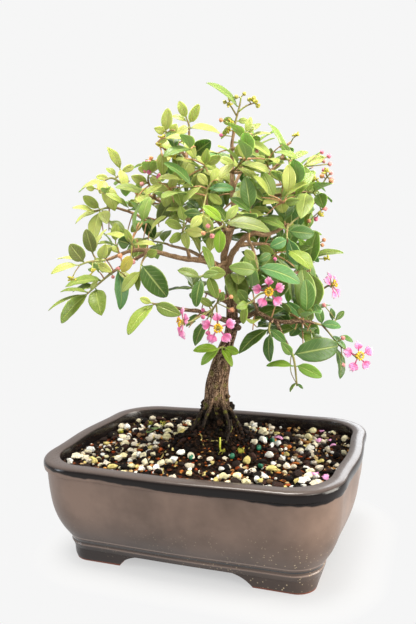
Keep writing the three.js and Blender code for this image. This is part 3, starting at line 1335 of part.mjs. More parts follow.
// Soil: a mound with grains standing out of it, a hole for the trunk and pockets for the mesh
function soilHeight(x, y) {
  const far = Math.hypot(x - trunkLine[0].x, y - trunkLine[0].y);
  const mound = SOIL_MOUND * Math.exp(-((far / SOIL_MOUND_REACH) ** 2));
  const front = 3.2 * THREE.MathUtils.clamp(-y / 70, 0, 1);
  const rough = 0.9 * Math.sin(x * 0.31 + y * 0.17) * Math.cos(y * 0.27 - x * 0.11);
  return SOIL_EDGE_HEIGHT + mound + front + rough;
}

function makeSoil() {
  const tank = loft(stackOf(POT_INSIDE, -TOUCH_GAP).map((ring, i) =>
    ring.map((point) => (i === 0 ? point.clone().setZ(FLOOR_TOP + TOUCH_GAP) : point))));
  const shrink = [1.02, 0.78, 0.54, 0.3, 0.12];
  const outline = roundedOutline(INNER_LENGTH, INNER_WIDTH, INNER_CORNER, 0, SIDE_BOW, CORNER_STEPS);
  const rings = [outline.map((p) => new THREE.Vector3(p.x * 1.02, p.y * 1.02, 0))];
  for (const share of shrink) {
    rings.push(outline.map((p) => {
      const x = THREE.MathUtils.lerp(trunkLine[0].x, p.x, share);
      const y = THREE.MathUtils.lerp(trunkLine[0].y, p.y, share);
      return new THREE.Vector3(x, y, soilHeight(x, y));
    }));
  }
  const parts = [loft(rings)];
  const draw = seeded(7);
  for (let k = 0; k < GRAIN_COUNT; k += 1) {
    const turn = k * 2.39996;
    const reach = Math.sqrt((k + 0.5) / GRAIN_COUNT);
    const x = (INNER_LENGTH / 2 - 4) * reach * Math.cos(turn) + 3 * (draw() - 0.5);
    const y = (INNER_WIDTH / 2 - 4) * reach * Math.sin(turn) + 3 * (draw() - 0.5);
    const size = THREE.MathUtils.lerp(GRAIN_SMALL, GRAIN_LARGE, draw() ** 1.6);
    const grain = new THREE.OctahedronGeometry(size, 0);
    grain.scale(1, 0.7 + 0.3 * draw(), 0.62);
    grain.rotateX(draw() - 0.5).rotateZ(draw() * 6).translate(x, y, soilHeight(x, y) + size * 0.25);
    parts.push(solidOfGeometry(grain));
  }
  let soil = join(parts).intersect(tank);
  const holeTop = TRUNK.findIndex(([, y]) => y < 415);
  const hole = [trunkSeatRing(0.5, TOUCH_GAP), ...TRUNK.slice(0, holeTop).map((_, i) => trunkRing(i, 0.5))];
  const lid = hole.at(-1).map((point) => point.clone().setZ(point.z + 20));
  soil = soil.subtract(loft([...hole, lid]));
  for (const x of drainPlaces()) {
    const size = MESH_SIZE + 2 * TOUCH_GAP;
    const pocket = new THREE.BoxGeometry(size, size, 2 * (MESH_THICK + 2 * TOUCH_GAP));
    soil = soil.subtract(solidOfGeometry(pocket.translate(x, 0, FLOOR_TOP)));
  }
  return largestOf(soil);
}

// Flower head and its yellow middle
function makePetals(flower) {
  const petals = Array.from({ length: PETAL_COUNT }, (_, k) => petalSolid(flower, k));
  return join([petalHub(flower), ...petals]);
}

// The stamens stand in a crown round the style: a small cone with a toothed edge
const STAMEN_COUNT = 5;
const STAMEN_RINGS = [
  // height over the hub, outer reach, inner reach
  [0, 1.4, 1.2],
  [2.6, 2.5, 1],
];

function makeStamens(flower) {
  const base = 0.6 + TOUCH_GAP;
  return loft(STAMEN_RINGS.map(([height, outer, inner]) => {
    const middle = flower.middle.clone().addScaledVector(flower.face, base + height);
    const tooth = Math.PI / STAMEN_COUNT;
    return ringAcross(middle, flower.side, flower.top, 2 * STAMEN_COUNT, (turn) =>
      (Math.round(turn / tooth) % 2 === 0 ? outer : inner));
  }));
}

// Meshes
function meshOf(name, solid, color, roughness, metalness = 0) {
  const { vertProperties, triVerts } = solid.getMesh();
  const geometry = new THREE.BufferGeometry();
  geometry.setAttribute("position", new THREE.BufferAttribute(vertProperties, 3));
  geometry.setIndex(new THREE.BufferAttribute(triVerts, 1));
  geometry.computeVertexNormals();
  const mesh = new THREE.Mesh(geometry, new THREE.MeshStandardMaterial({ color, roughness, metalness }));
  mesh.name = name;
  return mesh;
}

const bonsai = new THREE.Group();
const potGroup = new THREE.Group();
const plantGroup = new THREE.Group();
bonsai.add(potGroup, plantGroup);

potGroup.add(meshOf("pot", makePot(), 0x786a62, 0.28, 0.1));
drainPlaces().forEach((x, i) =>
  potGroup.add(meshOf(["drain_mesh_left", "drain_mesh_right"][i], makeDrainMesh(x), 0x2a2c2a, 0.7)));
potGroup.add(meshOf("soil", makeSoil(), 0x4a3a2c, 0.95));
plantGroup.add(meshOf("wood", makeWood(), 0x8a7256, 0.85));
for (const name of Object.keys(SPRAYS)) plantGroup.add(meshOf(name, makeSpray(name), 0x6fa048, 0.5));
for (const flower of flowerLayouts) {
  plantGroup.add(meshOf(flower.name, makePetals(flower), 0xe0559a, 0.6));
  plantGroup.add(meshOf(flower.name.replace("flower", "stamens"), makeStamens(flower), 0xe2b92f, 0.6));
}
plantGroup.add(meshOf("fruit", makeFruit(), 0x7fa838, 0.4));

// Stand the whole with the middle of its box over the origin
const box = new THREE.Box3().setFromObject(bonsai, true);
bonsai.position.set(-(box.min.x + box.max.x) / 2, -(box.min.y + box.max.y) / 2, -box.min.z);
bonsai.updateMatrixWorld(true);

export default bonsai;
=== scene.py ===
"""Barbados cherry bonsai in its glazed pot: the looks, built around the solid parts.

The plant is laid out in millimetres from the pot's middle, by the same picks and rules as the
solid parts, and goes into the frame in metres.
"""
from math import acos, ceil, cos, exp, hypot, inf, pi, radians, sin, sqrt
from types import SimpleNamespace

import bmesh
import bpy
import numpy as np
from mathutils import Matrix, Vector
from numpy.linalg import norm


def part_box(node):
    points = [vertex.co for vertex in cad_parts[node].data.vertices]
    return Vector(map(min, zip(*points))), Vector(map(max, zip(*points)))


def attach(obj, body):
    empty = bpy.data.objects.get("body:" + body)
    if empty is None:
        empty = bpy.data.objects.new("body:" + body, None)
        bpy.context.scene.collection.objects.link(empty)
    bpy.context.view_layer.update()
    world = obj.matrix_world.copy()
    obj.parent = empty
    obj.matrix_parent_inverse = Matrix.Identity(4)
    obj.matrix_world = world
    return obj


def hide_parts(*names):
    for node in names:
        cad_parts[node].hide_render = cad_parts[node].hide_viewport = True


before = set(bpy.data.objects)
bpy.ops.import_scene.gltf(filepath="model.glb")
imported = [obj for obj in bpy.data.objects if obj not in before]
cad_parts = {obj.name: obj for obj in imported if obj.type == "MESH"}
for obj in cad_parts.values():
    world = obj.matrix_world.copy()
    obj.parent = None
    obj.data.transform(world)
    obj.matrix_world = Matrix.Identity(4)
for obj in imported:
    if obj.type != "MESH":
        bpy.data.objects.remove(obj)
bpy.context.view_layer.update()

MILLIMETRE = 0.001
pot_low, pot_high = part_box("pot")
SHIFT = np.array([
    (pot_low.x + pot_high.x) / 2 / MILLIMETRE,
    (pot_low.y + pot_high.y) / 2 / MILLIMETRE,
    pot_low.z / MILLIMETRE,
])

# Pot
POT_LENGTH = 203
POT_WIDTH = 156
POT_HEIGHT = 70
RIM_CORNER = 33
RIM_FLAT = 9.2
SIDE_BOW = 2.6
LIP_DEPTH = 7.5
FOOT_HEIGHT = 8.8
FOOT_LENGTH = 163
FOOT_WIDTH = 113.4
FOOT_CORNER = 12
FOOT_WALL = 11
FOOT_REACH = 36
FLOOR_TOP = 15
DRAIN_RADIUS = 8
DRAIN_SPACING = 84

# Soil
SOIL_EDGE_HEIGHT = 60.5
SOIL_MOUND = 11
SOIL_MOUND_REACH = 44
GRAIN_COUNT = 36
GRAIN_SMALL = 2.6
GRAIN_LARGE = 4.6

# Plant
TOUCH_GAP = 0.3
TRUNK_SEAT = 46
STEM_RADIUS = 0.85
STRAIGHT_PETIOLE = 1.8
LEAF_ASPECT = 0.54
LEAF_FOLD = 0.16
LEAF_ARCH = 0.09
LEAF_LEAN = 0.9
LEAF_CLEARANCE = 3.0
BLADE_CLEARANCE = 1.2
TWIG_CLEARANCE = 1.9
PETAL_RADIUS = 11.4
PETAL_COUNT = 5
BUD_RADIUS = 1.7
FRUIT_RADIUS = 4.2

# The front view, in which places of the plant are picked
VIEW_TURN = radians(20.57)
VIEW_DIP = radians(6.93)
VIEW_ROLL = radians(-1.9)
VIEW_FOCUS = 650.64
FRAME_SIZE = (416, 624)
FRAME_MIDDLE = (208, 312)
EYE = np.array([154.54, -409.44, 212.79])

UP = np.array([0.0, 0.0, 1.0])
EAST = np.array([1.0, 0.0, 0.0])
NORTH = np.array([0.0, 1.0, 0.0])
AWAY = np.array([-sin(VIEW_TURN), cos(VIEW_TURN), 0.0])
ACROSS = np.array([cos(VIEW_TURN), sin(VIEW_TURN), 0.0])
SIGHT = AWAY * cos(VIEW_DIP) - UP * sin(VIEW_DIP)
LIFT = AWAY * sin(VIEW_DIP) + UP * cos(VIEW_DIP)
FRAME_RIGHT = ACROSS * cos(VIEW_ROLL) + LIFT * sin(VIEW_ROLL)
FRAME_UP = LIFT * cos(VIEW_ROLL) - ACROSS * sin(VIEW_ROLL)


def seen(x, y, depth):
    """Where a point of the front view lies at a depth behind the pot's middle."""
    ray = (SIGHT + FRAME_RIGHT * ((x - FRAME_MIDDLE[0]) / VIEW_FOCUS)
           + FRAME_UP * ((FRAME_MIDDLE[1] - y) / VIEW_FOCUS))
    return EYE + ray * ((depth - EYE @ AWAY) / (ray @ AWAY))


def seen_line(picks):
    return [seen(*pick) for pick in picks]


def seeded(seed):
    """Draws from 0 to 1 that come out alike each time."""
    state = [seed & 0xFFFFFFFF]

    def draw():
        state[0] = (state[0] + 0x6D2B79F5) & 0xFFFFFFFF
        t = state[0]
        t = ((t ^ (t >> 15)) * (t | 1)) & 0xFFFFFFFF
        t ^= (t + (((t ^ (t >> 7)) * (t | 61)) & 0xFFFFFFFF)) & 0xFFFFFFFF
        return (t ^ (t >> 14)) / 4294967296

    return draw


def pick_one(draw, options):
    return options[int(draw() * len(options))]


def lerp(a, b, share):
    return a + (b - a) * share


def unit(v):
    return v / norm(v)


def squarely(along, wish):
    """The direction square to one way that is nearest to a wish."""
    return unit(wish - along * (wish @ along))


# Lines of points
def length_of(line):
    return sum(norm(b - a) for a, b in zip(line, line[1:]))


def point_along(line, share):
    """Point and direction at a share of a line's length."""
    left = length_of(line) * share
    for i in range(1, len(line)):
        step = norm(line[i] - line[i - 1])
        if left <= step or i == len(line) - 1:
            along = (line[i] - line[i - 1]) / step
            return line[i - 1] + along * min(left, step), along
        left -= step
    return line[-1], UP


def nearest_on(lines, target):
    best, best_gap = None, inf
    for line in lines:
        for a, b in zip(line, line[1:]):
            span = b - a
            share = min(1.0, max(0.0, (target - a) @ span / (span @ span)))
            gap = norm(a + span * share - target)
            if gap < best_gap:
                best, best_gap = a + span * share, gap
    return best


def line_samples(line, spacing):
    steps = max(2, ceil(length_of(line) / spacing))
    return [point_along(line, k / steps)[0] for k in range(steps + 1)]


def smooth_line(line, steps):
    """A rounder line through the same points."""
    points = [np.asarray(p, float) for p in line]
    ends = [2 * points[0] - points[1], *points, 2 * points[-1] - points[-2]]
    made = []
    for i in range(1, len(ends) - 2):
        a, b, c, d = ends[i - 1:i + 3]
        for k in range(steps):
            t = k / steps
            made.append(0.5 * (2 * b + (c - a) * t + (2 * a - 5 * b + 4 * c - d) * t * t
                               + (3 * b - a - 3 * c + d) * t ** 3))
    made.append(points[-1])
    return made


# Outlines of the pot from the ground up: height, length, width, corner radius and bow
POT_BASE = [
    [0, FOOT_LENGTH, FOOT_WIDTH, FOOT_CORNER, 0],
    [3, FOOT_LENGTH + 2.2, FOOT_WIDTH + 2.2, FOOT_CORNER + 1, 0.2],
    [FOOT_HEIGHT - 0.4, FOOT_LENGTH + 3.4, FOOT_WIDTH + 3.4, FOOT_CORNER + 2, 0.4],
    [FOOT_HEIGHT, 168.2, 118.6, 16, 0.8],
    [12.0, 171, 121.6, 17.8, 1], [12.6, 171.9, 122.5, 18.3, 1], [13.4, 171.2, 121.8, 18.1, 1],
    [14.6, 172, 122.6, 18.6, 1.1], [15.8, 172.8, 123.6, 19.4, 1.1], [17.0, 174.6, 125.5, 20.3, 1.2],
]
POT_BOWL = [
    [17.8, 176, 127, 21, 1.4],
    [26, 186, 137.2, 25, 1.8],
    [36, 193.2, 145, 28, 2.1],
    [48, 197.2, 149.8, 30, SIDE_BOW],
    [POT_HEIGHT - LIP_DEPTH, POT_LENGTH - 4, POT_WIDTH - 4.2, 31, SIDE_BOW],
]
POT_LIP = [
    [POT_HEIGHT - drop, POT_LENGTH - shorter, POT_WIDTH - narrower, RIM_CORNER - rounder, SIDE_BOW]
    for drop, shorter, narrower, rounder in (
        (LIP_DEPTH - 0.5, 2.8, 3, 1.4), (LIP_DEPTH - 1.4, 0.5, 0.7, 0.3), (4.4, 0, 0, 0), (2.6, 0, 0, 0),
        (1.5, 0.6, 0.6, 0.3), (0.7, 1.7, 1.7, 0.8), (0.2, 3.2, 3.2, 1.6), (0, 5, 5, 2.4))
]
INNER_LENGTH = POT_LENGTH - 2 * RIM_FLAT
INNER_WIDTH = POT_WIDTH - 2 * RIM_FLAT
INNER_CORNER = 27.6
POT_INSIDE = [
    [FLOOR_TOP, 160, 112, 18, 1],
    [26, 170, 122, 21, 1.6],
    [46, INNER_LENGTH - 1, INNER_WIDTH - 1, INNER_CORNER - 1, SIDE_BOW],
    [POT_HEIGHT, INNER_LENGTH, INNER_WIDTH, INNER_CORNER, SIDE_BOW],
]
POT_INNER_RIM = [
    [POT_HEIGHT - drop, INNER_LENGTH + out, INNER_WIDTH + out, INNER_CORNER + out / 2, SIDE_BOW]
    for drop, out in ((1.2, 0), (0.4, 0.6), (0, 2))
]

# Trunk: front-view place, depth, radius and how deeply it is fluted
TRUNK = [
    (215, 446, -6, 17, 0.2), (215, 436, -6, 14.2, 0.2), (216, 424, -6, 10.6, 0.16),
    (216, 410, -6, 8.8, 0.12), (216, 398, -6, 8.2, 0.09), (217, 380, -6, 7.3, 0.08),
    (221, 362, -6, 6.4, 0.07), (226, 345, -6, 4.9, 0.06), (231, 330, -6, 4, 0.05),
    (232, 310, -6, 3.7, 0.04), (231, 290, -6, 3.1, 0.03), (227, 272, -5, 2.7, 0.02),
    (224, 256, -4, 2.4, 0),
]
LEADER = [
    [227, 272, -5], [224, 256, -4], [229, 236, -3], [234, 218, -2], [233, 198, 0], [232, 176, 2],
    [232, 156, 3], [232, 143, 3], [234, 132, 3],
]
LEADER_RADII = (2.6, 0.95)
ROOT_LOBES = 5
SEAT_SHRINK = 0.5

# Limbs: the branch each grows from, radii at its two ends, and its line in the front view
LIMBS = {
    "right_big": ("trunk", 2.3, 0.9, [
        (228, 268, -5), (232, 254, -9), (240, 243, -14), (246, 236, -18), (255, 233, -20),
        (264, 235, -22), (277, 231, -22), (285, 226, -20)]),
    "right_reach": ("right_big", 1.4, 0.85, [
        (240, 245, -13), (262, 244, -4), (272, 246, 2), (287, 248, 7), (300, 252, 10)]),
    "right_up": ("leader", 1.7, 0.85, [
        (233, 222, -2), (240, 216, 2), (253, 203, 10), (258, 190, 15), (265, 179, 18), (273, 169, 19),
        (281, 161, 18), (285, 148, 17), (291, 142, 17)]),
    "right_out": ("right_up", 1.2, 0.85, [
        (253, 203, 10), (268, 197, 5), (285, 194, -1), (300, 192, -5)]),
    "left_main": ("trunk", 2.1, 0.95, [
        (227, 270, -5), (212, 263, -11), (198, 260, -17), (186, 259, -20), (172, 256, -22),
        (157, 252, -24), (144, 250, -25), (130, 251, -26), (112, 258, -27)]),
    "left_fork": ("left_main", 1.2, 0.85, [
        (150, 251, -24), (137, 258, -17), (124, 265, -11), (114, 271, -7)]),
    "left_riser": ("left_main", 1.1, 0.8, [(190, 259, -19), (187, 248, -23), (184, 238, -27)]),
    "left_upper": ("leader", 1.7, 0.85, [
        (228, 240, -3), (214, 231, 0), (205, 226, 4), (190, 221, 9), (181, 214, 13), (170, 207, 16),
        (158, 200, 18), (146, 194, 19), (135, 191, 20), (126, 186, 20)]),
    "left_middle": ("left_upper", 1.2, 0.85, [
        (172, 209, 16), (160, 218, 23), (148, 221, 27), (135, 214, 30), (117, 208, 30)]),
    "left_low": ("trunk", 1.9, 0.85, [
        (231, 322, -6), (219, 318, -14), (210, 315, -21), (198, 311, -27), (186, 310, -30),
        (172, 307, -32), (163, 305, -33)]),
    "crown_left": ("left_upper", 1.5, 0.85, [
        (196, 223, 7), (196, 212, 8), (195, 198, 9), (193, 185, 10), (190, 170, 9), (185, 157, 5),
        (180, 148, -1), (175, 141, -6)]),
    "crown_riser": ("crown_left", 1, 0.8, [(186, 159, 6), (188, 146, 11), (189, 136, 14)]),
    "crown_bare": ("crown_left", 0.8, 0.5, [
        (182, 152, 2), (170, 152, -6), (163, 148, -10), (156, 144, -12)]),
    "centre_front": ("leader", 1.3, 0.85, [
        (232, 226, -2), (220, 215, -12), (208, 206, -20), (206, 198, -23)]),
    "front_reach": ("leader", 1.4, 0.9, [(231, 230, -2), (228, 230, -22), (226, 229, -40)]),
    "front_low": ("trunk", 1.4, 0.85, [(225, 262, -4), (219, 266, -22), (214, 270, -38)]),
    "front_right": ("right_big", 1.1, 0.8, [(246, 236, -18), (252, 247, -34), (255, 256, -44)]),
    "right_low": ("trunk", 2.1, 0.9, [
        (232, 324, -6), (242, 319, -12), (250, 315, -16), (258, 313, -19), (266, 317, -22),
        (275, 321, -24), (286, 322, -25), (300, 321, -24), (311, 322, -22)]),
    "right_low_rise": ("right_low", 1, 0.8, [(258, 313, -19), (256, 307, -26), (254, 303, -32)]),
    "right_low_drop": ("right_low", 1.1, 0.85, [(276, 322, -24), (283, 336, -30), (288, 346, -33)]),
    "right_low_back": ("right_low", 1.1, 0.8, [(296, 321, -24), (301, 322, -10), (303, 322, 4)]),
    "back_low": ("trunk", 1.7, 0.85, [(232, 306, -6), (226, 302, 9), (216, 297, 20), (207, 293, 30)]),
    "back_low_right": ("trunk", 1.6, 0.85, [
        (232, 296, -6), (243, 292, 9), (258, 288, 20), (268, 285, 28)]),
    "back_left": ("left_main", 1.5, 0.85, [
        (212, 263, -11), (200, 256, 4), (188, 250, 17), (172, 246, 29)]),
    "back_right": ("right_big", 1.4, 0.85, [
        (236, 249, -12), (246, 238, 5), (260, 232, 20), (276, 228, 32)]),
    "back_middle": ("leader", 1.5, 0.85, [
        (229, 240, -3), (224, 230, 13), (218, 222, 27), (214, 218, 37)]),
    "back_top": ("leader", 1.1, 0.8, [(233, 190, 1), (238, 178, 13), (243, 168, 23), (246, 162, 29)]),
    "back_top_left": ("crown_left", 1.1, 0.8, [(194, 190, 9), (186, 182, 22), (178, 176, 31)]),
    "back_top_right": ("right_up", 1.1, 0.8, [(258, 190, 15), (270, 186, 27), (284, 184, 35)]),
}

# Leafy sprays: the limb each grows from, its green stems in the front view (each after the
# first grows from the first), its leaves, its buds, how many pairs of leaves more stand along
# it, and the tints of single leaves by their number.
# A leaf gives where its blade starts, where its tip is, and how wide it shows.
SPRAYS = {}


def add_spray(name, limb, stems, leaves=(), buds=(), pairs=0, tints=None):
    SPRAYS["spray_" + name] = SimpleNamespace(
        limb=limb, stems=stems, leaves=leaves, buds=buds, pairs=pairs, tints=tints or {})


add_spray("left_upper_tip", "left_upper", [
    [(121, 183, 20), (112, 178, 18), (104, 181, 15), (97, 189, 12)],
    [(116, 180, 19), (120, 174, 21), (120, 168, 22)]],
    [(120, 168, 107, 147, 9), (119, 168, 125, 190, 9), (119, 182, 106, 168, 6), (122, 172, 134, 166, 7),
     (110, 178, 96, 177, 6), (104, 181, 100, 194, 11), (98, 189, 86, 188, 6)], pairs=1)
add_spray("left_middle", "left_middle", [
    [(113, 208, 30), (106, 208, 28), (99, 210, 24), (94, 211, 20)],
    [(110, 208, 29), (107, 202, 31), (104, 199, 32)]],
    [(101, 207, 83, 196, 10), (93, 211, 72, 208, 5), (103, 211, 107, 224, 12), (109, 197, 106, 187, 8),
     (113, 206, 122, 199, 8)], pairs=1)
add_spray("left_middle_inner", "left_middle", [
    [(144, 217, 31), (141, 208, 36), (138, 200, 40)]],
    [(143, 216, 150, 200, 9), (141, 222, 131, 232, 9), (138, 222, 154, 238, 14), (130, 196, 128, 206, 8)],
    pairs=2, tints={2: "deep"})
add_spray("left_low_outer", "left_main", [
    [(106, 260, -28), (97, 261, -29), (88, 262, -31), (80, 265, -33)],
    [(97, 261, -29), (94, 256, -27), (92, 252, -25)]],
    [(92, 255, 86, 229, 13), (95, 250, 107, 229, 4), (84, 262, 70, 244, 15), (84, 262, 57, 259, 4),
     (76, 265, 51, 274, 7), (100, 261, 106, 244, 10), (98, 264, 112, 272, 9)],
    tints={0: "pale", 2: "pale"})
add_spray("left_low_tip", "left_fork", [
    [(110, 274, -7), (103, 280, -9), (95, 287, -12), (87, 294, -15)],
    [(109, 275, -7), (114, 272, -14), (118, 270, -18)]],
    [(100, 277, 65, 287, 8), (87, 289, 60, 292, 4), (83, 295, 48, 311, 3), (86, 296, 61, 323, 13),
     (88, 290, 98, 281, 5), (118, 272, 120, 310, 14), (117, 270, 131, 282, 7)],
    pairs=1, tints={5: "blue"})
add_spray("left_inner", "left_main", [
    [(133, 247, -30), (131, 242, -34), (128, 238, -38)]],
    [(131, 253, 118, 240, 14), (133, 250, 156, 245, 5), (131, 242, 125, 229, 7), (127, 244, 104, 235, 6),
     (131, 256, 122, 272, 11)], tints={0: "deep", 4: "yellow"})
add_spray("left_under", "left_main", [
    [(146, 255, -28), (143, 260, -33), (141, 265, -37)]],
    [(142, 263, 167, 297, 23), (140, 272, 122, 292, 11), (140, 275, 138, 291, 6), (145, 256, 157, 251, 9)],
    tints={0: "deep"})
add_spray("left_bottom", "left_low", [
    [(159, 304, -36), (155, 304, -42), (152, 303, -46)]],
    [(153, 305, 128, 335, 12), (156, 305, 181, 315, 14), (151, 303, 140, 298, 7)],
    tints={0: "mid", 1: "olive"})
add_spray("left_top", "left_upper", [
    [(155, 193, 15), (150, 186, 10), (148, 178, 7), (151, 170, 5), (154, 163, 4)]],
    [(149, 184, 131, 176, 10), (150, 178, 162, 184, 9), (150, 172, 138, 168, 7), (155, 192, 134, 203, 7)],
    buds=[(147, 162, 4), (151, 158, 5), (157, 162, 5), (145, 171, 5), (159, 175, 4), (141, 184, 8)],
    pairs=1)
add_spray("crown_apex", "leader", [
    [(234, 129, 3), (236, 120, 3), (238, 112, 2), (240, 104, 2), (241, 97, 2)],
    [(238, 112, 2), (246, 106, 0), (254, 103, -1)], [(236, 116, 3), (232, 108, 4), (229, 104, 4)]],
    [(237, 106, 206, 83, 6), (233, 131, 223, 121, 8), (233, 140, 221, 139, 5), (236, 128, 248, 121, 6)],
    buds=[(250, 102, -1), (254, 98, -1), (257, 105, -1), (227, 103, 4), (230, 99, 4), (238, 97, 2),
     (244, 94, 2)], tints={0: "olive"})
add_spray("crown_right", "leader", [
    [(237, 148, -2), (242, 141, -8), (246, 134, -12)]],
    [(244, 141, 270, 156, 7), (244, 135, 261, 124, 6), (241, 143, 236, 158, 8), (246, 132, 251, 117, 7)],
    buds=[(257, 151, -14)], pairs=1)
add_spray("crown_middle", "leader", [
    [(235, 169, -5), (239, 165, -13), (243, 160, -20)]],
    [(240, 162, 263, 173, 7), (237, 171, 258, 181, 7), (236, 166, 218, 158, 8), (243, 158, 241, 141, 9)],
    pairs=1)
add_spray("crown_left_top", "crown_riser", [
    [(189, 131, 14), (189, 125, 14), (186, 117, 14)]],
    [(190, 122, 199, 104, 9), (186, 121, 172, 116, 5), (188, 128, 173, 134, 8), (191, 128, 221, 134, 6),
     (186, 117, 179, 101, 9)], tints={0: "bright", 2: "bright"})
add_spray("crown_left_end", "crown_left", [
    [(172, 138, -8), (168, 134, -10), (165, 130, -11)]],
    [(166, 130, 168, 108, 11), (169, 136, 177, 124, 8), (166, 133, 154, 128, 8), (170, 140, 158, 143, 6)])
add_spray("crown_left", "crown_left", [
    [(191, 160, 2), (194, 154, -6), (196, 147, -12)]],
    [(194, 152, 211, 141, 16), (192, 154, 184, 136, 9), (195, 157, 217, 171, 9), (193, 158, 177, 183, 20)],
    tints={0: "deep"})
add_spray("crown_inner", "crown_left", [
    [(198, 176, 2), (202, 171, -8), (205, 165, -16)]],
    [(203, 170, 216, 186, 11), (204, 166, 221, 156, 9), (200, 172, 192, 190, 9), (205, 163, 207, 148, 9)],
    pairs=1)
add_spray("right_top", "right_up", [
    [(286, 159, 10), (293, 161, 5), (300, 164, 1), (304, 167, -2)]],
    [(285, 157, 268, 123, 6), (289, 159, 308, 152, 6), (303, 167, 325, 157, 9), (290, 162, 291, 190, 14),
     (296, 163, 313, 194, 15)],
    buds=[(322, 152, 1), (329, 156, 1), (324, 161, 1), (330, 164, 1)])
add_spray("right_top_inner", "right_up", [
    [(268, 172, 12), (268, 166, 5), (267, 160, 0)]],
    [(267, 175, 264, 201, 13), (268, 165, 271, 148, 10), (267, 162, 255, 158, 8), (270, 172, 288, 180, 9)],
    pairs=1, tints={1: "pale"})
add_spray("right_upper", "right_out", [
    [(303, 192, -5), (310, 192, -6), (318, 191, -7)], [(313, 192, -6), (318, 200, -8), (321, 210, -9)],
    [(314, 192, -6), (322, 184, -8), (327, 177, -9)]],
    [(306, 194, 301, 219, 18), (320, 191, 324, 208, 13), (308, 191, 312, 176, 9)],
    buds=[(324, 170, -9), (331, 172, -9), (332, 179, -9), (322, 176, -9), (321, 214, -9), (325, 209, -9),
     (316, 219, -9), (309, 221, -9)], pairs=1, tints={0: "bright"})
add_spray("right_upper_inner", "right_out", [
    [(281, 197, -6), (281, 201, -14), (284, 203, -20)]],
    [(280, 199, 283, 213, 13), (281, 196, 290, 184, 9), (277, 200, 262, 196, 8), (286, 203, 300, 200, 8)],
    pairs=1)
add_spray("front_pale", "front_reach", [
    [(225, 227, -45), (224, 224, -52), (222, 221, -58)],
    [(224, 226, -49), (214, 230, -52), (208, 232, -54)]],
    [(227, 223, 270, 232, 13), (221, 221, 203, 206, 10), (222, 228, 219, 253, 12),
     (226, 220, 238, 205, 9)],
    buds=[(204, 233, -55), (212, 236, -55), (208, 226, -55)], tints={0: "pale", 1: "fresh", 2: "fresh"})
add_spray("centre", "centre_front", [
    [(206, 196, -25), (207, 190, -27), (211, 182, -29)],
    [(206, 196, -25), (204, 205, -34), (203, 215, -41)]],
    [(210, 189, 234, 189, 9), (206, 193, 188, 196, 9), (209, 186, 198, 174, 9), (206, 197, 222, 204, 9),
     (211, 181, 218, 168, 8), (203, 211, 184, 213, 9), (205, 213, 212, 233, 10), (203, 217, 190, 228, 10)],
    tints={0: "blue", 5: "deep"})
add_spray("left_riser", "left_riser", [
    [(183, 234, -29), (183, 229, -31), (184, 223, -33)]],
    [(182, 228, 166, 221, 9), (182, 235, 170, 243, 9), (186, 230, 188, 249, 9), (185, 231, 204, 233, 11),
     (184, 221, 180, 206, 9)])
add_spray("left_upper_inner", "left_upper", [
    [(171, 202, 9), (172, 195, 1), (170, 189, -4)]],
    [(168, 192, 165, 207, 12), (172, 196, 158, 222, 14), (171, 188, 176, 172, 9), (170, 190, 156, 188, 8)],
    pairs=1, tints={1: "pale"})
add_spray("front_low", "front_low", [
    [(211, 272, -42), (206, 274, -48), (200, 277, -53)]],
    [(211, 271, 203, 246, 9), (207, 273, 226, 273, 13), (201, 280, 219, 273, 8), (201, 280, 196, 307, 12),
     (199, 277, 178, 270, 9), (209, 277, 217, 298, 11)], tints={2: "olive", 3: "deep", 4: "olive"})
add_spray("front_right", "front_right", [
    [(256, 260, -48), (257, 265, -52), (258, 269, -55)]],
    [(255, 270, 229, 267, 14), (255, 262, 245, 250, 9), (260, 268, 300, 283, 16), (257, 262, 271, 254, 9)],
    tints={0: "olive", 2: "blue", 3: "deep"})
add_spray("right_middle_upper", "right_big", [
    [(288, 224, -22), (287, 231, -27), (287, 237, -31)],
    [(287, 226, -23), (296, 219, -22), (305, 214, -21)]],
    [(286, 230, 314, 234, 14), (285, 229, 257, 219, 8), (286, 240, 270, 247, 12),
     (289, 240, 298, 265, 14), (303, 214, 314, 206, 7)], tints={0: "deep", 2: "blue", 3: "blue"})
add_spray("right_middle_inner", "right_reach", [
    [(272, 248, -4), (274, 251, -12), (275, 255, -18)]],
    [(275, 252, 286, 246, 8), (274, 254, 260, 246, 9), (276, 256, 292, 302, 9), (273, 257, 262, 266, 9)],
    tints={0: "fresh"})
add_spray("right_tip", "right_reach", [
    [(304, 253, 10), (311, 258, 8), (311, 265, 5), (310, 271, 2)],
    [(306, 254, 10), (313, 248, 8), (318, 244, 7)]],
    [(310, 274, 314, 309, 24), (312, 258, 344, 253, 6), (309, 252, 319, 262, 7), (304, 250, 298, 238, 8),
     (308, 264, 297, 272, 8)],
    buds=[(318, 240, 6), (322, 245, 6), (324, 240, 6)], tints={0: "olive", 2: "blue", 3: "fresh"})
add_spray("right_low_inner", "right_low_rise", [
    [(252, 302, -36), (249, 303, -40), (246, 305, -43)]],
    [(248, 302, 236, 308, 9), (246, 306, 243, 324, 8), (247, 301, 238, 290, 10)])
add_spray("right_low_under", "right_low", [
    [(270, 323, -27), (269, 329, -31), (270, 334, -34)]],
    [(268, 327, 239, 354, 13), (270, 335, 270, 362, 11), (271, 330, 286, 343, 9)], tints={0: "deep"})
add_spray("right_low_giant", "right_low_drop", [
    [(290, 350, -35), (293, 356, -37), (295, 366, -38), (297, 386, -38)]],
    [(295, 354, 338, 346, 24), (298, 366, 322, 377, 12), (292, 366, 266, 366, 7), (290, 352, 281, 342, 9),
     (296, 383, 290, 392, 3), (297, 384, 303, 389, 3)], tints={0: "deep", 1: "fresh", 2: "fresh"})
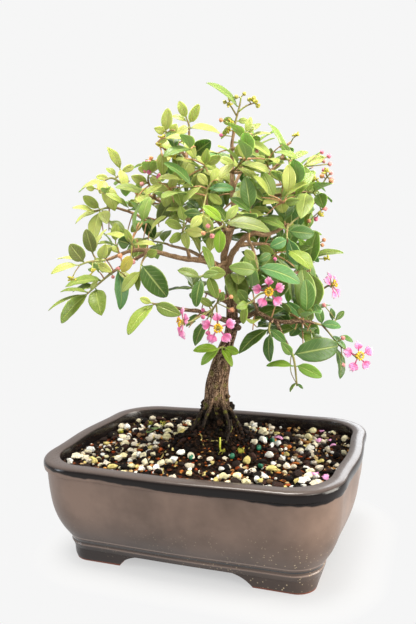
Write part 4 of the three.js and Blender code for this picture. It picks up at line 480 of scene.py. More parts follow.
add_spray("right_low_middle", "right_low_back", [
    [(303, 322, 8), (304, 318, 13), (304, 312, 17)]],
    [(303, 313, 303, 294, 17), (302, 316, 287, 302, 10), (306, 321, 318, 338, 14),
     (302, 320, 290, 336, 12)], pairs=1, tints={0: "deep", 1: "blue"})
add_spray("right_low_tip", "right_low", [
    [(314, 323, -21), (324, 325, -18), (332, 323, -16), (336, 320, -15)],
    [(322, 325, -19), (330, 334, -19), (336, 342, -20), (341, 347, -20)]],
    [(318, 325, 341, 327, 9), (333, 322, 331, 308, 6), (336, 320, 344, 311, 6), (322, 323, 315, 304, 9),
     (336, 348, 340, 379, 8), (333, 332, 347, 354, 5), (341, 336, 353, 342, 5)],
    buds=[(343, 338, -24), (343, 365, -24)], tints={0: "blue", 4: "deep"})
add_spray("trunk", "trunk", [
    [(223, 347, -16), (222, 347, -20), (219, 348, -23)]],
    [(218, 349, 193, 351, 9), (218, 350, 201, 365, 9), (223, 345, 239, 353, 9), (222, 350, 232, 367, 7)],
    tints={0: "fresh", 1: "fresh", 2: "fresh", 3: "fresh"})
add_spray("left_low_front", "left_low", [
    [(210, 313, -26), (213, 309, -34), (217, 303, -40)]],
    [(205, 322, 195, 346, 11), (212, 306, 200, 298, 8), (216, 302, 224, 292, 8)],
    buds=[(219, 291, -44), (231, 297, -44), (232, 310, -44), (203, 317, -44), (208, 333, -46)],
    tints={0: "deep"})
for name, stem in {
    "back_low": [(203, 291, 34), (196, 289, 41), (189, 288, 48)],
    "back_low_right": [(273, 283, 32), (281, 280, 39), (289, 278, 46)],
    "back_left": [(167, 244, 33), (158, 242, 40), (150, 241, 47)],
    "back_right": [(281, 226, 36), (289, 223, 43), (297, 221, 50)],
    "back_middle": [(212, 215, 41), (209, 210, 49), (206, 206, 57)],
    "back_top": [(248, 158, 33), (250, 152, 39), (252, 147, 45)],
    "back_top_left": [(175, 173, 35), (169, 168, 41), (164, 164, 47)],
    "back_top_right": [(288, 182, 39), (295, 179, 44), (301, 176, 49)],
}.items():
    add_spray(name, name, [stem], pairs=3)

# Open flowers: the spray whose stem carries each, its middle, and which way it faces
# (across, toward the eye, up)
FLOWERS = {
    "flower_centre": ["spray_right_low_inner", [268, 292, -42], [0.1, 1, 0.15]],
    "flower_left": ["spray_left_low_front", [218, 327, -48], [0, 1, -0.1]],
    "flower_left_side": ["spray_left_low_front", [184, 322, -44], [-1, 0.35, 0.1]],
    "flower_right": ["spray_right_low_tip", [358, 356, -30], [0.25, 1, 0.2]],
    "flower_behind": ["spray_right_low_middle", [331, 285, 14], [0.8, 0.5, 0.35]],
}

# What a leaf keeps clear of: points with a radius, and the node they belong to. A radius of
# nought marks a leaf.
clear_points = []
clear_radii = []
clear_nodes = []


def keep_clear(node, points, radius):
    clear_points.append(np.array(points, float).reshape(-1, 3))
    clear_radii.append(np.full(len(points), float(radius)))
    clear_nodes.extend([node] * len(points))


def has_room(samples, places, radii):
    """Whether samples stay out of a radius round each of some places."""
    near = norm(samples[:, None, :] - places[None, :, :], axis=2)
    return bool((near > radii[None, :]).all())


def is_clear(node, samples):
    places = np.concatenate(clear_points)
    radii = np.concatenate(clear_radii)
    own = np.array([other == node for other in clear_nodes])
    is_leaf = radii == 0
    room = np.where(is_leaf, LEAF_CLEARANCE, radii + TWIG_CLEARANCE)
    room = np.where(own, np.where(is_leaf, BLADE_CLEARANCE, -1), room)
    return has_room(samples, places, room)


# Wood lines
trunk_line = [seen(x, y, depth) for x, y, depth, _, _ in TRUNK]
WOOD_LINES = {"trunk": trunk_line, "leader": seen_line(LEADER)}
for name, (parent, _, _, picks) in LIMBS.items():
    line = seen_line(picks)
    line[0] = nearest_on([WOOD_LINES[parent]], line[0])
    WOOD_LINES[name] = line

# Stems of each spray, and the peg of wood that it grows from
stems_of, grips_of, peg_of, buds_of = {}, {}, {}, {}
for name, spray in SPRAYS.items():
    stems = [seen_line(stem) for stem in spray.stems]
    grips = [[point_along(stems[0], 0.25)[0], *stems[0][1:]]]
    for stem in stems[1:]:
        stem[0] = nearest_on([grips[0]], stem[0])
        grips.append([point_along(stem, 0.25)[0], *stem[1:]])
    stems_of[name] = stems
    grips_of[name] = grips
    peg_of[name] = [nearest_on([WOOD_LINES[spray.limb]], stems[0][0]), stems[0][0]]
    buds_of[name] = []

for place, (_, _, _, radius, _) in zip(trunk_line, TRUNK):
    keep_clear("wood", [place], radius)
for name, (_, thick, thin, _) in LIMBS.items():
    keep_clear("wood", line_samples(WOOD_LINES[name], 1.5), (thick + thin) / 2)
keep_clear("wood", line_samples(trunk_line[4:], 2), 3)
keep_clear("wood", line_samples(WOOD_LINES["leader"], 1.5), 1.6)
for name, stems in stems_of.items():
    keep_clear("wood", line_samples(peg_of[name], 1.5), STEM_RADIUS)
    for stem in stems:
        keep_clear(name, line_samples(stem, 1.5), STEM_RADIUS)

# Flowers
flowers = []
for name, (carrier, place, facing) in FLOWERS.items():
    middle = seen(*place)
    face = unit(ACROSS * facing[0] - AWAY * facing[1] + UP * facing[2])
    top = squarely(face, UP)
    stalk_start = nearest_on(grips_of[carrier], middle)
    stalk_end = middle - face * (1.2 + TOUCH_GAP)
    bend = lerp(stalk_start, stalk_end, 0.6) - face * 4 + UP * 1.5
    flowers.append(SimpleNamespace(
        name=name, carrier=carrier, middle=middle, face=face, top=top, side=np.cross(top, face),
        stalk=[stalk_start, bend, stalk_end - face * 2.4, stalk_end]))


def petal_way(flower, k):
    turn = 2 * pi * k / PETAL_COUNT
    return flower.top * cos(turn) + flower.side * sin(turn)


PETAL_PLACES = [(0.35, 0), (0.68, -0.8), (0.68, 0), (0.68, 0.8), (0.95, -0.8), (0.95, 0), (0.95, 0.8)]
for flower in flowers:
    for k in range(PETAL_COUNT):
        out = petal_way(flower, k)
        side = np.cross(out, flower.face)
        keep_clear(flower.name, [
            flower.middle + out * share * PETAL_RADIUS + side * wide * 3.9 + flower.face * 1.4
            for share, wide in PETAL_PLACES], 1)
    keep_clear(flower.name, [flower.middle], 3)
    keep_clear(flower.carrier, line_samples(flower.stalk, 1.5), STEM_RADIUS * 0.8)

# Buds
for name, spray in SPRAYS.items():
    for pick in spray.buds:
        aim = seen(*pick)
        root = nearest_on(grips_of[name], aim)
        reach = norm(aim - root)
        place = root + unit(aim - root) * max(reach, BUD_RADIUS * 1.8)
        buds_of[name].append((place, root))
        keep_clear(name, [place], BUD_RADIUS)
        keep_clear(name, line_samples([root, place], 1.5), 0.5)

FRUIT_PLACE = (252, 182, -6)
fruit_middle = seen(*FRUIT_PLACE)
keep_clear("fruit", [fruit_middle], FRUIT_RADIUS)


# Leaves
def blade_point(leaf, share):
    rise = 4 * leaf.arch * share * (1 - share)
    return lerp(leaf.start, leaf.tip, share) + leaf.face * rise


def leaf_samples(leaf):
    samples = []
    for i in range(1, 8):
        share = i / 7
        half = leaf.half * sqrt(sin(pi * min(1, share * 0.96 + 0.02)))
        for side in ([0] if i == 7 else [-1, -0.5, 0, 0.5, 1]):
            samples.append(blade_point(leaf, share) + leaf.side * side * half
                           + leaf.face * abs(side) * half * LEAF_FOLD)
    return np.array(samples)


def make_leaf(root, start, tip, half, face):
    along = unit(tip - start)
    return SimpleNamespace(root=root, start=start, tip=tip, half=half, face=face, tint=None,
                           side=np.cross(along, face), arch=LEAF_ARCH * norm(tip - start))


def picked_leaf(grips, depth, pick, lean, depth_shift):
    """A leaf that shows in the front view. Where it shows short for its width its tip comes
    nearer or goes back, and where it shows narrow its face turns up."""
    x0, y0, x1, y1, width = pick
    start = seen(x0, y0, depth)
    root = nearest_on(grips, start)
    shown = norm(seen(x1, y1, depth) - start)
    shown_width = width * norm(start - EYE) / VIEW_FOCUS
    length = max(shown, shown_width / LEAF_ASPECT * 0.9)
    back = sqrt(max(0, length * length - shown * shown))
    tip = seen(x1, y1, depth - back + lean * shown + depth_shift)
    petiole = start - root
    if petiole @ (tip - root) < 0.6 * norm(petiole) * norm(tip - root):
        start = root + unit(tip - root) * STRAIGHT_PETIOLE
    along = unit(tip - start)
    full_width = max(shown_width, min(length * LEAF_ASPECT * 0.86, shown_width * 2.6))
    turn = acos(min(1, shown_width / full_width))
    front = squarely(along, unit(EYE - start))
    over = squarely(along, UP + AWAY * 0.02)
    sideways = np.cross(along, front)
    sign = 1 if sideways @ over >= 0 else -1
    face = front * cos(turn) + sideways * (sign * sin(turn))
    return make_leaf(root, start, tip, full_width / 2, face)


def ruled_leaf(stem, share, turn, length):
    """A leaf of a pair set by rule on a stem."""
    point, along = point_along(stem, share)
    first = squarely(along, UP)
    second = np.cross(along, first)
    out = first * cos(turn) + second * sin(turn)
    way = unit(along * 0.55 + out * 0.85 + UP * 0.1)
    start = point + way * 2.6
    face = squarely(way, UP + along * 0.3 - AWAY * 0.3)
    return make_leaf(point, start, start + way * length, length * LEAF_ASPECT / 2, face)


DEPTH_TRIES = (0, -4, 4, -8, 8, -13, 13, -18, 18)
TURN_TRIES = (0, 35, -35, 70, -70)
PAIR_LEAF_SHORT = 15
PAIR_LEAF_LONG = 23

leaves_of = {name: [] for name in SPRAYS}


def lay_leaf(name, leaf, tint=None):
    """Keeps a leaf where it has room, and says whether it has."""
    samples = leaf_samples(leaf)
    if not is_clear(name, samples):
        return False
    leaf.tint = tint
    leaves_of[name].append(leaf)
    keep_clear(name, samples, 0)
    return True


for name, spray in SPRAYS.items():
    draw = seeded(len(name) * 31 + len(spray.leaves))
    picks = [pick for stem in spray.stems for pick in stem]
    for number, pick in enumerate(spray.leaves):
        nearest = min(picks, key=lambda p: hypot(p[0] - pick[0], p[1] - pick[1]))
        lean = LEAF_LEAN * (draw() - 0.5)
        for depth_shift in DEPTH_TRIES:
            leaf = picked_leaf(grips_of[name], nearest[2], pick, lean, depth_shift)
            if lay_leaf(name, leaf, spray.tints.get(number)):
                break
for index, (name, spray) in enumerate(SPRAYS.items()):
    draw = seeded(101 + index)
    stem = stems_of[name][0]
    for k in range(spray.pairs):
        share = min((k + 0.7) / (spray.pairs + 0.1), 0.98)
        base = pi * (0.5 * k + 0.25 + 0.3 * draw())
        for half_turn in (0, pi):
            length = lerp(PAIR_LEAF_SHORT, PAIR_LEAF_LONG, draw())
            for turn in TURN_TRIES:
                if lay_leaf(name, ruled_leaf(stem, share, base + half_turn + radians(turn), length)):
                    break


# A fine tendril that hangs from the lowest shoot on the right
TENDRIL = [(292, 352, -36), (290.4, 362, -37), (291, 372, -38), (294.5, 380, -38), (298, 385, -38)]

# Inside of the crown, where leaves stand too close to be told apart
CROWN_ZONES = [
    # front-view middle, radius, how many shoots are tried, size of their leaves
    (300, 312, 26, 36, 25), (290, 275, 24, 26, 25), (250, 275, 22, 26, 25), (266, 318, 20, 20, 22),
    (312, 338, 16, 14, 22), (236, 302, 12, 10, 18), (266, 232, 32, 40, 20), (300, 236, 22, 22, 19),
    (185, 165, 24, 24, 17), (200, 195, 28, 34, 19), (235, 178, 32, 32, 18), (270, 190, 34, 32, 18),
    (302, 188, 24, 20, 17), (226, 216, 28, 30, 20), (152, 212, 18, 18, 19), (122, 192, 20, 16, 16),
    (112, 236, 14, 10, 16), (165, 190, 18, 18, 19), (180, 215, 16, 16, 19), (205, 235, 16, 14, 19),
    (96, 262, 16, 6, 16), (140, 250, 14, 10, 19), (245, 140, 14, 4, 14), (175, 140, 12, 8, 14),
    (285, 155, 14, 8, 15), (190, 325, 9, 8, 17), (205, 300, 10, 8, 17),
]
CROWN_HOLES = [
    (170, 241, 7), (166, 290, 16), (214, 262, 5), (203, 277, 5), (256, 205, 4), (232, 350, 12),
    (152, 166, 7), (163, 146, 7), (230, 110, 12), (318, 215, 5),
]
INNER_LEAF_CLEARANCE = 1.7
INNER_TWIG_CLEARANCE = 1.3

OPEN_LINES = [line_samples(WOOD_LINES[name], 3) for name in [*LIMBS, "leader"]]
for name, stems in stems_of.items():
    OPEN_LINES.extend(line_samples(stem, 3) for stem in stems)


def view_place(place):
    """Where a place shows in the front view."""
    ray = place - EYE
    scale = VIEW_FOCUS / (ray @ SIGHT)
    return FRAME_MIDDLE[0] + ray @ FRAME_RIGHT * scale, FRAME_MIDDLE[1] - ray @ FRAME_UP * scale


def view_distance(points, place):
    """How near points come to a place in the front view."""
    x, y = view_place(place)
    return min(hypot(a - x, b - y) for a, b in map(view_place, points))


def shows_well(place):
    """Whether a leaf may show at a place without closing a gap of the crown or widening it."""
    x, y = view_place(place)
    if any(hypot(x - hx, y - hy) < far for hx, hy, far in CROWN_HOLES):
        return False
    return any(hypot(x - zone[0], y - zone[1]) < zone[2] for zone in CROWN_ZONES)


def lay_inner_shoots():
    draw = seeded(2024)
    places = np.concatenate(clear_points)
    radii = np.concatenate(clear_radii)
    radii = np.where(radii == 0, INNER_LEAF_CLEARANCE, radii + INNER_TWIG_CLEARANCE)
    anchors = np.concatenate([np.array(line) for line in OPEN_LINES])
    shoots = []
    for x, y, far, tries, size in CROWN_ZONES:
        for _ in range(tries):
            turn, reach = draw() * 2 * pi, far * sqrt(draw())
            aim = seen(x + reach * cos(turn), y + reach * sin(turn), lerp(-30, 42, draw()))
            gaps = norm(anchors - aim, axis=1)
            root = anchors[int(np.argmin(gaps))]
            if not 5 < gaps.min() < 30 or not shows_well(aim):
                draw()
                continue
            way = unit(aim - root)
            aim = root + way * min(gaps.min(), 16)
            line = [root, lerp(root, aim, 0.5) + UP * 0.9, aim]
            leaves = []
            for share, turn in ((1.0, 0), (0.9, 1.5), (0.85, 4.4), (0.55, 3.0), (0.5, 0.2)):
                base = line_samples(line, 1)
                base = base[min(len(base) - 1, int(share * (len(base) - 1)))]
                first = squarely(way, UP)
                second = np.cross(way, first)
                turn += 1.1 * (draw() - 0.5)
                out = first * cos(turn) + second * sin(turn)
                lean = 0.25 if share == 1 else 0.95
                leaf_way = unit(way * 0.6 + out * lean + UP * 0.1)
                length = size * lerp(0.7, 1.2, draw())
                face = squarely(leaf_way, UP + AWAY * -0.5 + way * 0.2)
                start = base + leaf_way * 1.6
                leaf = make_leaf(base, start, start + leaf_way * length, length * LEAF_ASPECT * 0.5, face)
                leaf.tint = "shaded" if draw() < 0.72 else None
                samples = leaf_samples(leaf)
                middle = blade_point(leaf, 0.6)
                if shows_well(middle) and shows_well(leaf.tip) and has_room(samples, places, radii):
                    leaves.append(leaf)
                    places = np.concatenate([places, samples])
                    radii = np.concatenate([radii, np.full(len(samples), INNER_LEAF_CLEARANCE)])
            if leaves:
                shoots.append((line, leaves))
    return shoots


inner_shoots = lay_inner_shoots()

# Small pink buds and spent flowers, by their places in the front view, in the order of their draws
SMALL_BUDS = [
    ("pink", [
        (149, 162), (154, 163), (158, 161), (149, 172), (158, 177), (120, 256), (118, 269), (133, 262),
        (113, 277), (132, 281), (142, 184), (137, 193), (221, 120), (221, 135), (257, 152), (219, 292),
        (226, 297), (230, 310), (203, 310), (300, 228), (331, 173), (331, 181), (324, 208), (275, 259)]),
    ("spent", [
        (296, 136), (316, 180), (92, 273), (71, 280), (162, 138), (160, 147), (168, 154), (172, 157),
        (163, 158), (231, 123), (229, 106), (252, 101), (256, 104), (326, 172), (320, 216), (172, 241),
        (327, 259)]),
    ("pink", [(324, 305)]),
    ("spent", [(229, 131)]),
]


# Making pieces
def place_object(name, data):
    made = bpy.data.objects.new(name, data)
    bpy.context.scene.collection.objects.link(made)
    return made


class Mould:
    """Points and faces of one piece, with a value of each named kind for every point."""

    def __init__(self):
        self.points = []
        self.faces = []
        self.finishes = []
        self.values = {}
        self.count = 0

    def add(self, points, faces, finish=0, **values):
        points = np.asarray(points, float).reshape(-1, 3)
        base = self.count
        self.points.append(points)
        self.faces.extend([tuple(base + k for k in face) for face in faces])
        self.finishes.extend([finish] * len(faces))
        for kind, value in values.items():
            table = np.broadcast_to(np.asarray(value, float), (len(points), 3))
            self.values.setdefault(kind, []).append((base, table))
        self.count += len(points)

    def loft(self, rings, count, finish=0, **values):
        """A closed body through rings of the same number of points."""
        points = np.asarray(rings, float).reshape(-1, 3)
        self.add(points, loft_faces(count, len(points) // count), finish, **values)

    def piece(self, name, materials, nodes=(), sharp_degrees=None):
        mesh = bpy.data.meshes.new(name)
        points = (np.concatenate(self.points) + SHIFT) * MILLIMETRE
        mesh.from_pydata(points.tolist(), [], self.faces)
        for material in materials:
            mesh.materials.append(material)
        mesh.polygons.foreach_set("material_index", self.finishes)
        for kind, tables in self.values.items():
            whole = np.zeros((self.count, 3))
            for base, table in tables:
                whole[base:base + len(table)] = table
            attribute = mesh.attributes.new(kind, "FLOAT_VECTOR", "POINT")
            attribute.data.foreach_set("vector", whole.astype(np.float32).ravel())
        mesh.shade_smooth()
        if sharp_degrees is not None:
            mesh.set_sharp_from_angle(angle=radians(sharp_degrees))
        mesh.update()
        made = place_object(name, mesh)
        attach(made, "root")
        if nodes:
            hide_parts(*nodes)
        return made


def loft_faces(count, rings, capped=True):
    """Faces through rings of the same number of points, that run anticlockwise about the way ahead."""
    faces = []
    for i in range(rings - 1):
        low, high = i * count, (i + 1) * count
        for k in range(count):
            after = (k + 1) % count
            faces.append((low + k, low + after, high + after, high + k))
    if capped:
        faces.append(tuple(range(count - 1, -1, -1)))
        faces.append(tuple(range((rings - 1) * count, rings * count)))
    return faces


def ring_across(middle, side, front, count, reach):
    return [middle + side * (reach(turn) * cos(turn)) + front * (reach(turn) * sin(turn))
            for turn in (2 * pi * k / count for k in range(count))]


def line_frames(line):
    """A side and a front way square to a line at each of its points, without twist."""
    side = None
    for i, point in enumerate(line):
        along = unit(line[min(i + 1, len(line) - 1)] - line[max(i - 1, 0)])
        if side is None:
            side = UP if abs(along[2]) < 0.9 else ACROSS
        side = squarely(along, side)
        yield i, point, side, np.cross(along, side)


def add_rod(mould, line, radii, sides, finish=0, **values):
    """A round rod along a line, from one radius to another."""
    total = length_of(line)
    rings, gone = [], 0.0
    for i, point, side, front in line_frames(line):
        if i > 0:
            gone += norm(point - line[i - 1])
        radius = lerp(*radii, gone / total)
        rings.extend(ring_across(point, side, front, sides, lambda _: radius))
    mould.loft(rings, sides, finish, **values)


def add_stalk(mould, root, tip, radii, sides, finish=0, at=0.5, lift=0.0, **values):
    """A short rod that may rise a little at a share of its length."""
    add_rod(mould, [root, lerp(root, tip, at) + UP * lift, tip], radii, sides, finish, **values)


def add_turned(mould, middle, axis, side, front, profile, count, finish=0, lobes=0, depth=0.0, **values):
    """A body turned about an axis from pairs of height and radius, with shallow lobes round it."""
    rings = []
    for height, radius in profile:
        rings.extend(ring_across(middle + axis * height, side, front, count,
                                 lambda turn: radius * (1 + depth * cos(lobes * turn))))
    mould.loft(rings, count, finish, **values)


# Pebble shapes that loose grains are made of
def pebble_shapes(kinds, subdivisions, rough, seed, facets=7):
    shapes = []
    draw = seeded(seed)
    for _ in range(kinds):
        ball = bmesh.new()
        bmesh.ops.create_icosphere(ball, subdivisions=subdivisions, radius=1)
        points = np.array([v.co[:] for v in ball.verts])
        faces = [tuple(v.index for v in face.verts) for face in ball.faces]
        ball.free()
        reach = np.ones(len(points))
        for _ in range(facets):
            way = unit(np.array([draw() - 0.5, draw() - 0.5, draw() - 0.5]))
            cut = lerp(0.5, 0.9, draw())
            lean = points @ way
            reach = np.where(lean * reach > cut, cut / np.maximum(lean, 1e-6), reach)
        reach *= 1 + rough * (np.array([draw() for _ in points]) - 0.5)
        shapes.append((points * reach[:, None], faces))
    return shapes


def turned(points, turn, tip):
    c, s = cos(turn), sin(turn)
    flat = points @ np.array([[c, s, 0], [-s, c, 0], [0, 0, 1]])
    c, s = cos(tip), sin(tip)
    return flat @ np.array([[1, 0, 0], [0, c, s], [0, -s, c]])


# Finishes
def linear(red, green, blue):
    """A colour given as it shows on a screen, 0 to 255, for a shader."""
    made = []
    for part in (red, green, blue):
        value = part / 255
        made.append(value / 12.92 if value <= 0.04045 else ((value + 0.055) / 1.055) ** 2.4)
    return (*made, 1.0)


def put(tree, kind, inputs=None, **settings):
    """One shader node with its settings, its links and its typed values. A colour is typed as three
    numbers from 0 to 255."""
    node = tree.nodes.new(kind)
    for key, value in settings.items():
        setattr(node, key, value)
    for key, value in (inputs or {}).items():
        if isinstance(value, bpy.types.NodeSocket):
            tree.links.new(value, node.inputs[key])
        else:
            node.inputs[key].default_value = linear(*value) if isinstance(value, tuple) else value
    return node


def follow(kind, inputs, **settings):
    """A node in the tree that the first linked one of its inputs comes from."""
    tree = next(value.id_data for value in inputs.values() if isinstance(value, bpy.types.NodeSocket))
    return put(tree, kind, inputs, **settings).outputs


def reckon(operation, a, b=0.0):
    return follow("ShaderNodeMath", {0: a, 1: b}, operation=operation)[0]


def times(a, b):
    return reckon("MULTIPLY", a, b)


def plus(a, b):
    return reckon("ADD", a, b)


def minus(a, b):
    return reckon("SUBTRACT", a, b)


def most(a, b):
    return reckon("MAXIMUM", a, b)


def off_from(value, middle):
    """How far a value is from another."""
    return reckon("ABSOLUTE", minus(value, middle))


def mingle(share, a, b, mode="MIX"):
    return follow("ShaderNodeMix", {0: share, 6: a, 7: b}, data_type="RGBA", blend_type=mode)[2]


def mix_numbers(share, low, high):
    return follow("ShaderNodeMix", {0: share, 2: low, 3: high}, data_type="FLOAT")[0]


def stretch(value, low, high, new_low=0.0, new_high=1.0):
    return follow("ShaderNodeMapRange", {0: value, 1: low, 2: high, 3: new_low, 4: new_high})[0]


def speckle(place, scale, detail=3.0, roughness=0.55, distortion=0.0):
    return follow("ShaderNodeTexNoise", {
        "Vector": place, "Scale": scale, "Detail": detail, "Roughness": roughness,
        "Distortion": distortion})["Fac"]


def cells(place, scale):
    return follow("ShaderNodeTexVoronoi", {"Vector": place, "Scale": scale})["Distance"]


def stepped(value, stops):
    """Colours along a value, given as (place, colour) stops."""
    node = put(value.id_data, "ShaderNodeValToRGB", {0: value})
    points = node.color_ramp.elements
    while len(points) < len(stops):
        points.new(0.5)
    for point, (place, colour) in zip(points, stops):
        point.position = place
        point.color = linear(*colour)
    return node.outputs["Color"]


def own_place(tree):
    return put(tree, "ShaderNodeTexCoord").outputs["Object"]


def parts_of(vector):
    return tuple(follow("ShaderNodeSeparateXYZ", {0: vector}))


def point_value(tree, kind):
    node = put(tree, "ShaderNodeAttribute", attribute_type="GEOMETRY", attribute_name=kind)
    return node.outputs["Vector"]


def new_effect(name, inputs, outputs):
    """A shader node group with named sockets, and its inner start and end."""
    tree = bpy.data.node_groups.new(name, "ShaderNodeTree")
    for label, kind, value in inputs:
        socket = tree.interface.new_socket(label, in_out="INPUT", socket_type=kind)
        if value is not None:
            socket.default_value = linear(*value) if kind == COLOUR else value
    for label, kind in outputs:
        tree.interface.new_socket(label, in_out="OUTPUT", socket_type=kind)
    return tree, put(tree, "NodeGroupInput").outputs, put(tree, "NodeGroupOutput").inputs


COLOUR = "NodeSocketColor"
NUMBER = "NodeSocketFloat"
VECTOR = "NodeSocketVector"


def new_finish(name, **constants):
    """A material, its nodes and its shader, with what is the same all over typed into the shader."""
    material = bpy.data.materials.new(name)
    material.use_nodes = True
    tree = material.node_tree
    shader = tree.nodes["Principled BSDF"]
    for label, value in constants.items():
        shader.inputs[label.replace("_", " ")].default_value = value
    return material, tree, shader


def feed(shader, **sockets):
    """Links what differs from place to place into the shader."""
    for label, socket in sockets.items():
        shader.id_data.links.new(socket, shader.inputs[label.replace("_", " ")])


def raise_by(shader, height, distance):
    feed(shader, Normal=follow("ShaderNodeBump", {"Height": height, "Distance": distance})["Normal"])


def make_mottle():
    """Two colours in soft patches, and a fine grain to roughen with."""
    tree, start, end = new_effect("soft_mottle", [
        ("Light", COLOUR, (200, 200, 200)), ("Dark", COLOUR, (80, 80, 80)),
        ("Patches", NUMBER, 120.0), ("Grain", NUMBER, 900.0), ("Place", VECTOR, None),
    ], [("Color", COLOUR), ("Patch Mask", NUMBER), ("Grain Mask", NUMBER)])
    patch = stretch(speckle(start["Place"], start["Patches"], 4.0, 0.6), 0.35, 0.65)
    tree.links.new(mingle(patch, start["Dark"], start["Light"]), end["Color"])
    tree.links.new(patch, end["Patch Mask"])
    tree.links.new(speckle(start["Place"], start["Grain"], 3.0, 0.6), end["Grain Mask"])
    return tree


SOFT_MOTTLE = make_mottle()


def mottled(place, light, dark, patches, grain):
    return follow("ShaderNodeGroup", {
        "Place": place, "Light": light, "Dark": dark, "Patches": patches, "Grain": grain,
    }, node_tree=SOFT_MOTTLE)


# Heights on the pot's outside, in metres
BAND_LOW_LEFT = 0.0662
BAND_LOW_RIGHT = 0.0606
BAND_HIGH = 0.0692
MOULDING_CRESTS = (0.0127, 0.0178)
PAINTED_SHADE_LOW, PAINTED_SHADE_HIGH = 0.014, 0.046
CLAY_HIGH = 0.0021


def make_glaze():
    """Dark satin glaze: taupe where it is thin, near black where it has pooled under the lip, with
    pale dust low on the right and bare clay under the feet. Painted shade darkens the body towards
    the feet, and painted light brightens the moulding crests."""
    material, tree, shader = new_finish("glaze_taupe", Coat_Roughness=0.12, IOR=1.42,
                                        Specular_IOR_Level=0.36)
    place = own_place(tree)
    ends, _, height = parts_of(place)
    wander = speckle(place, 38, 3)
    mottle = mottled(place, (129, 107, 94), (100, 82, 71), 24.0, 700.0)
    # Painted shade: the body darkens towards the feet, where it faces the shadowed floor, more at the left
    # end than the right.
    low = stretch(plus(height, times(wander, 0.01)), PAINTED_SHADE_LOW, PAINTED_SHADE_HIGH, 1.0, 0.0)
    painted_low_shade = times(low, stretch(ends, -0.08, 0.08, 1.0, 0.72))
    colour = mingle(painted_low_shade, mottle["Color"], (44, 36, 34))
    # Paler on the moulding crests: partly the glaze running thin there, partly painted light that lifts the
    # shade on the downward ledge.
    for crest in MOULDING_CRESTS:
        near = stretch(off_from(height, crest), 0.0, 0.0009, 0.55, 0.0)
        colour = mingle(near, colour, (168, 146, 134))
    brim = stretch(height, BAND_HIGH - 0.0012, BAND_HIGH)
    colour = mingle(brim, colour, (76, 66, 62))
    drip = times(minus(wander, 0.5), 0.006)
    lower_edge = stretch(ends, -0.1, 0.1, BAND_LOW_LEFT, BAND_LOW_RIGHT)
    above = stretch(minus(plus(height, drip), lower_edge), 0.0, 0.0009)
    below = stretch(height, BAND_HIGH - 0.0006, BAND_HIGH + 0.0004, 1.0, 0.0)
    band = times(above, below)
    colour = mingle(band, colour, (20, 15, 14))
    flecks = stretch(cells(place, 440), 0.12, 0.22, 1.0, 0.0)
    dust = times(flecks, stretch(speckle(place, 60, 3), 0.42, 0.58))
    dust = times(dust, stretch(height, 0.016, 0.044, 1.0, 0.0))
    dust = times(dust, stretch(ends, -0.04, 0.06, 0.2, 1.0))
    colour = mingle(dust, colour, (204, 184, 150))
    ragged = plus(height, times(wander, 0.0016))
    bare = stretch(ragged, CLAY_HIGH - 0.0005, CLAY_HIGH, 1.0, 0.0)
    colour = mingle(bare, colour, (122, 68, 50))
    rough = mix_numbers(brim, stretch(band, 0.0, 1.0, 0.4, 0.08), 0.24)
    rough = plus(rough, times(mottle["Grain Mask"], 0.1))
    rough = most(rough, times(most(bare, dust), 0.8))
    coat = stretch(most(bare, band), 0.0, 1.0, 0.22, 0.0)
    feed(shader, Base_Color=colour, Roughness=rough, Coat_Weight=coat)
    raise_by(shader, plus(wander, times(mottle["Grain Mask"], 0.1)), 0.0004)
    return material


def make_bark():
    """Furrowed bark: pale ridges that run with the limb, dark furrows, and darker towards the foot."""
    material, tree, shader = new_finish("bark_furrowed", Specular_IOR_Level=0.2)
    flow = point_value(tree, "bark_flow")
    place = own_place(tree)
    _, _, height = parts_of(place)
    ridges = speckle(flow, 1.5, 5, 0.65, 0.4)
    fine = speckle(flow, 5.0, 4, 0.6)
    colour = stepped(ridges, [
        (0.4, (24, 16, 11)), (0.48, (76, 54, 40)), (0.56, (132, 102, 78)),
        (0.66, (192, 164, 136))])
    colour = mingle(stretch(fine, 0.45, 0.8, 0.0, 0.5), colour, (64, 50, 32))
    specks = speckle(place, 1050, 3, 0.6)
    colour = mingle(stretch(specks, 0.52, 0.64, 0.0, 0.6), colour, (198, 166, 134))
    colour = mingle(stretch(specks, 0.36, 0.48, 0.55, 0.0), colour, (40, 27, 17))
    # Paler bark higher up: partly the paler young wood, partly painted light that lifts the shade the crown
    # casts on the limbs.
    young_bark_and_light = stretch(height, 0.15, 0.21)
    colour = mingle(times(young_bark_and_light, 0.5), colour, (206, 166, 126))
    # Darker towards the foot of the trunk.
    foot = plus(height, times(fine, 0.016))
    colour = mingle(stretch(foot, 0.1, 0.112, 0.93, 0.0), colour, (24, 17, 12))
    moss = times(stretch(speckle(place, 240, 3), 0.54, 0.66), stretch(height, 0.09, 0.15, 0.8, 0.0))
    colour = mingle(moss, colour, (112, 112, 44))
    feed(shader, Base_Color=colour, Roughness=stretch(ridges, 0.3, 0.7, 0.9, 0.7))
    raise_by(shader, plus(ridges, times(fine, 0.35)), 0.0012)
    return material


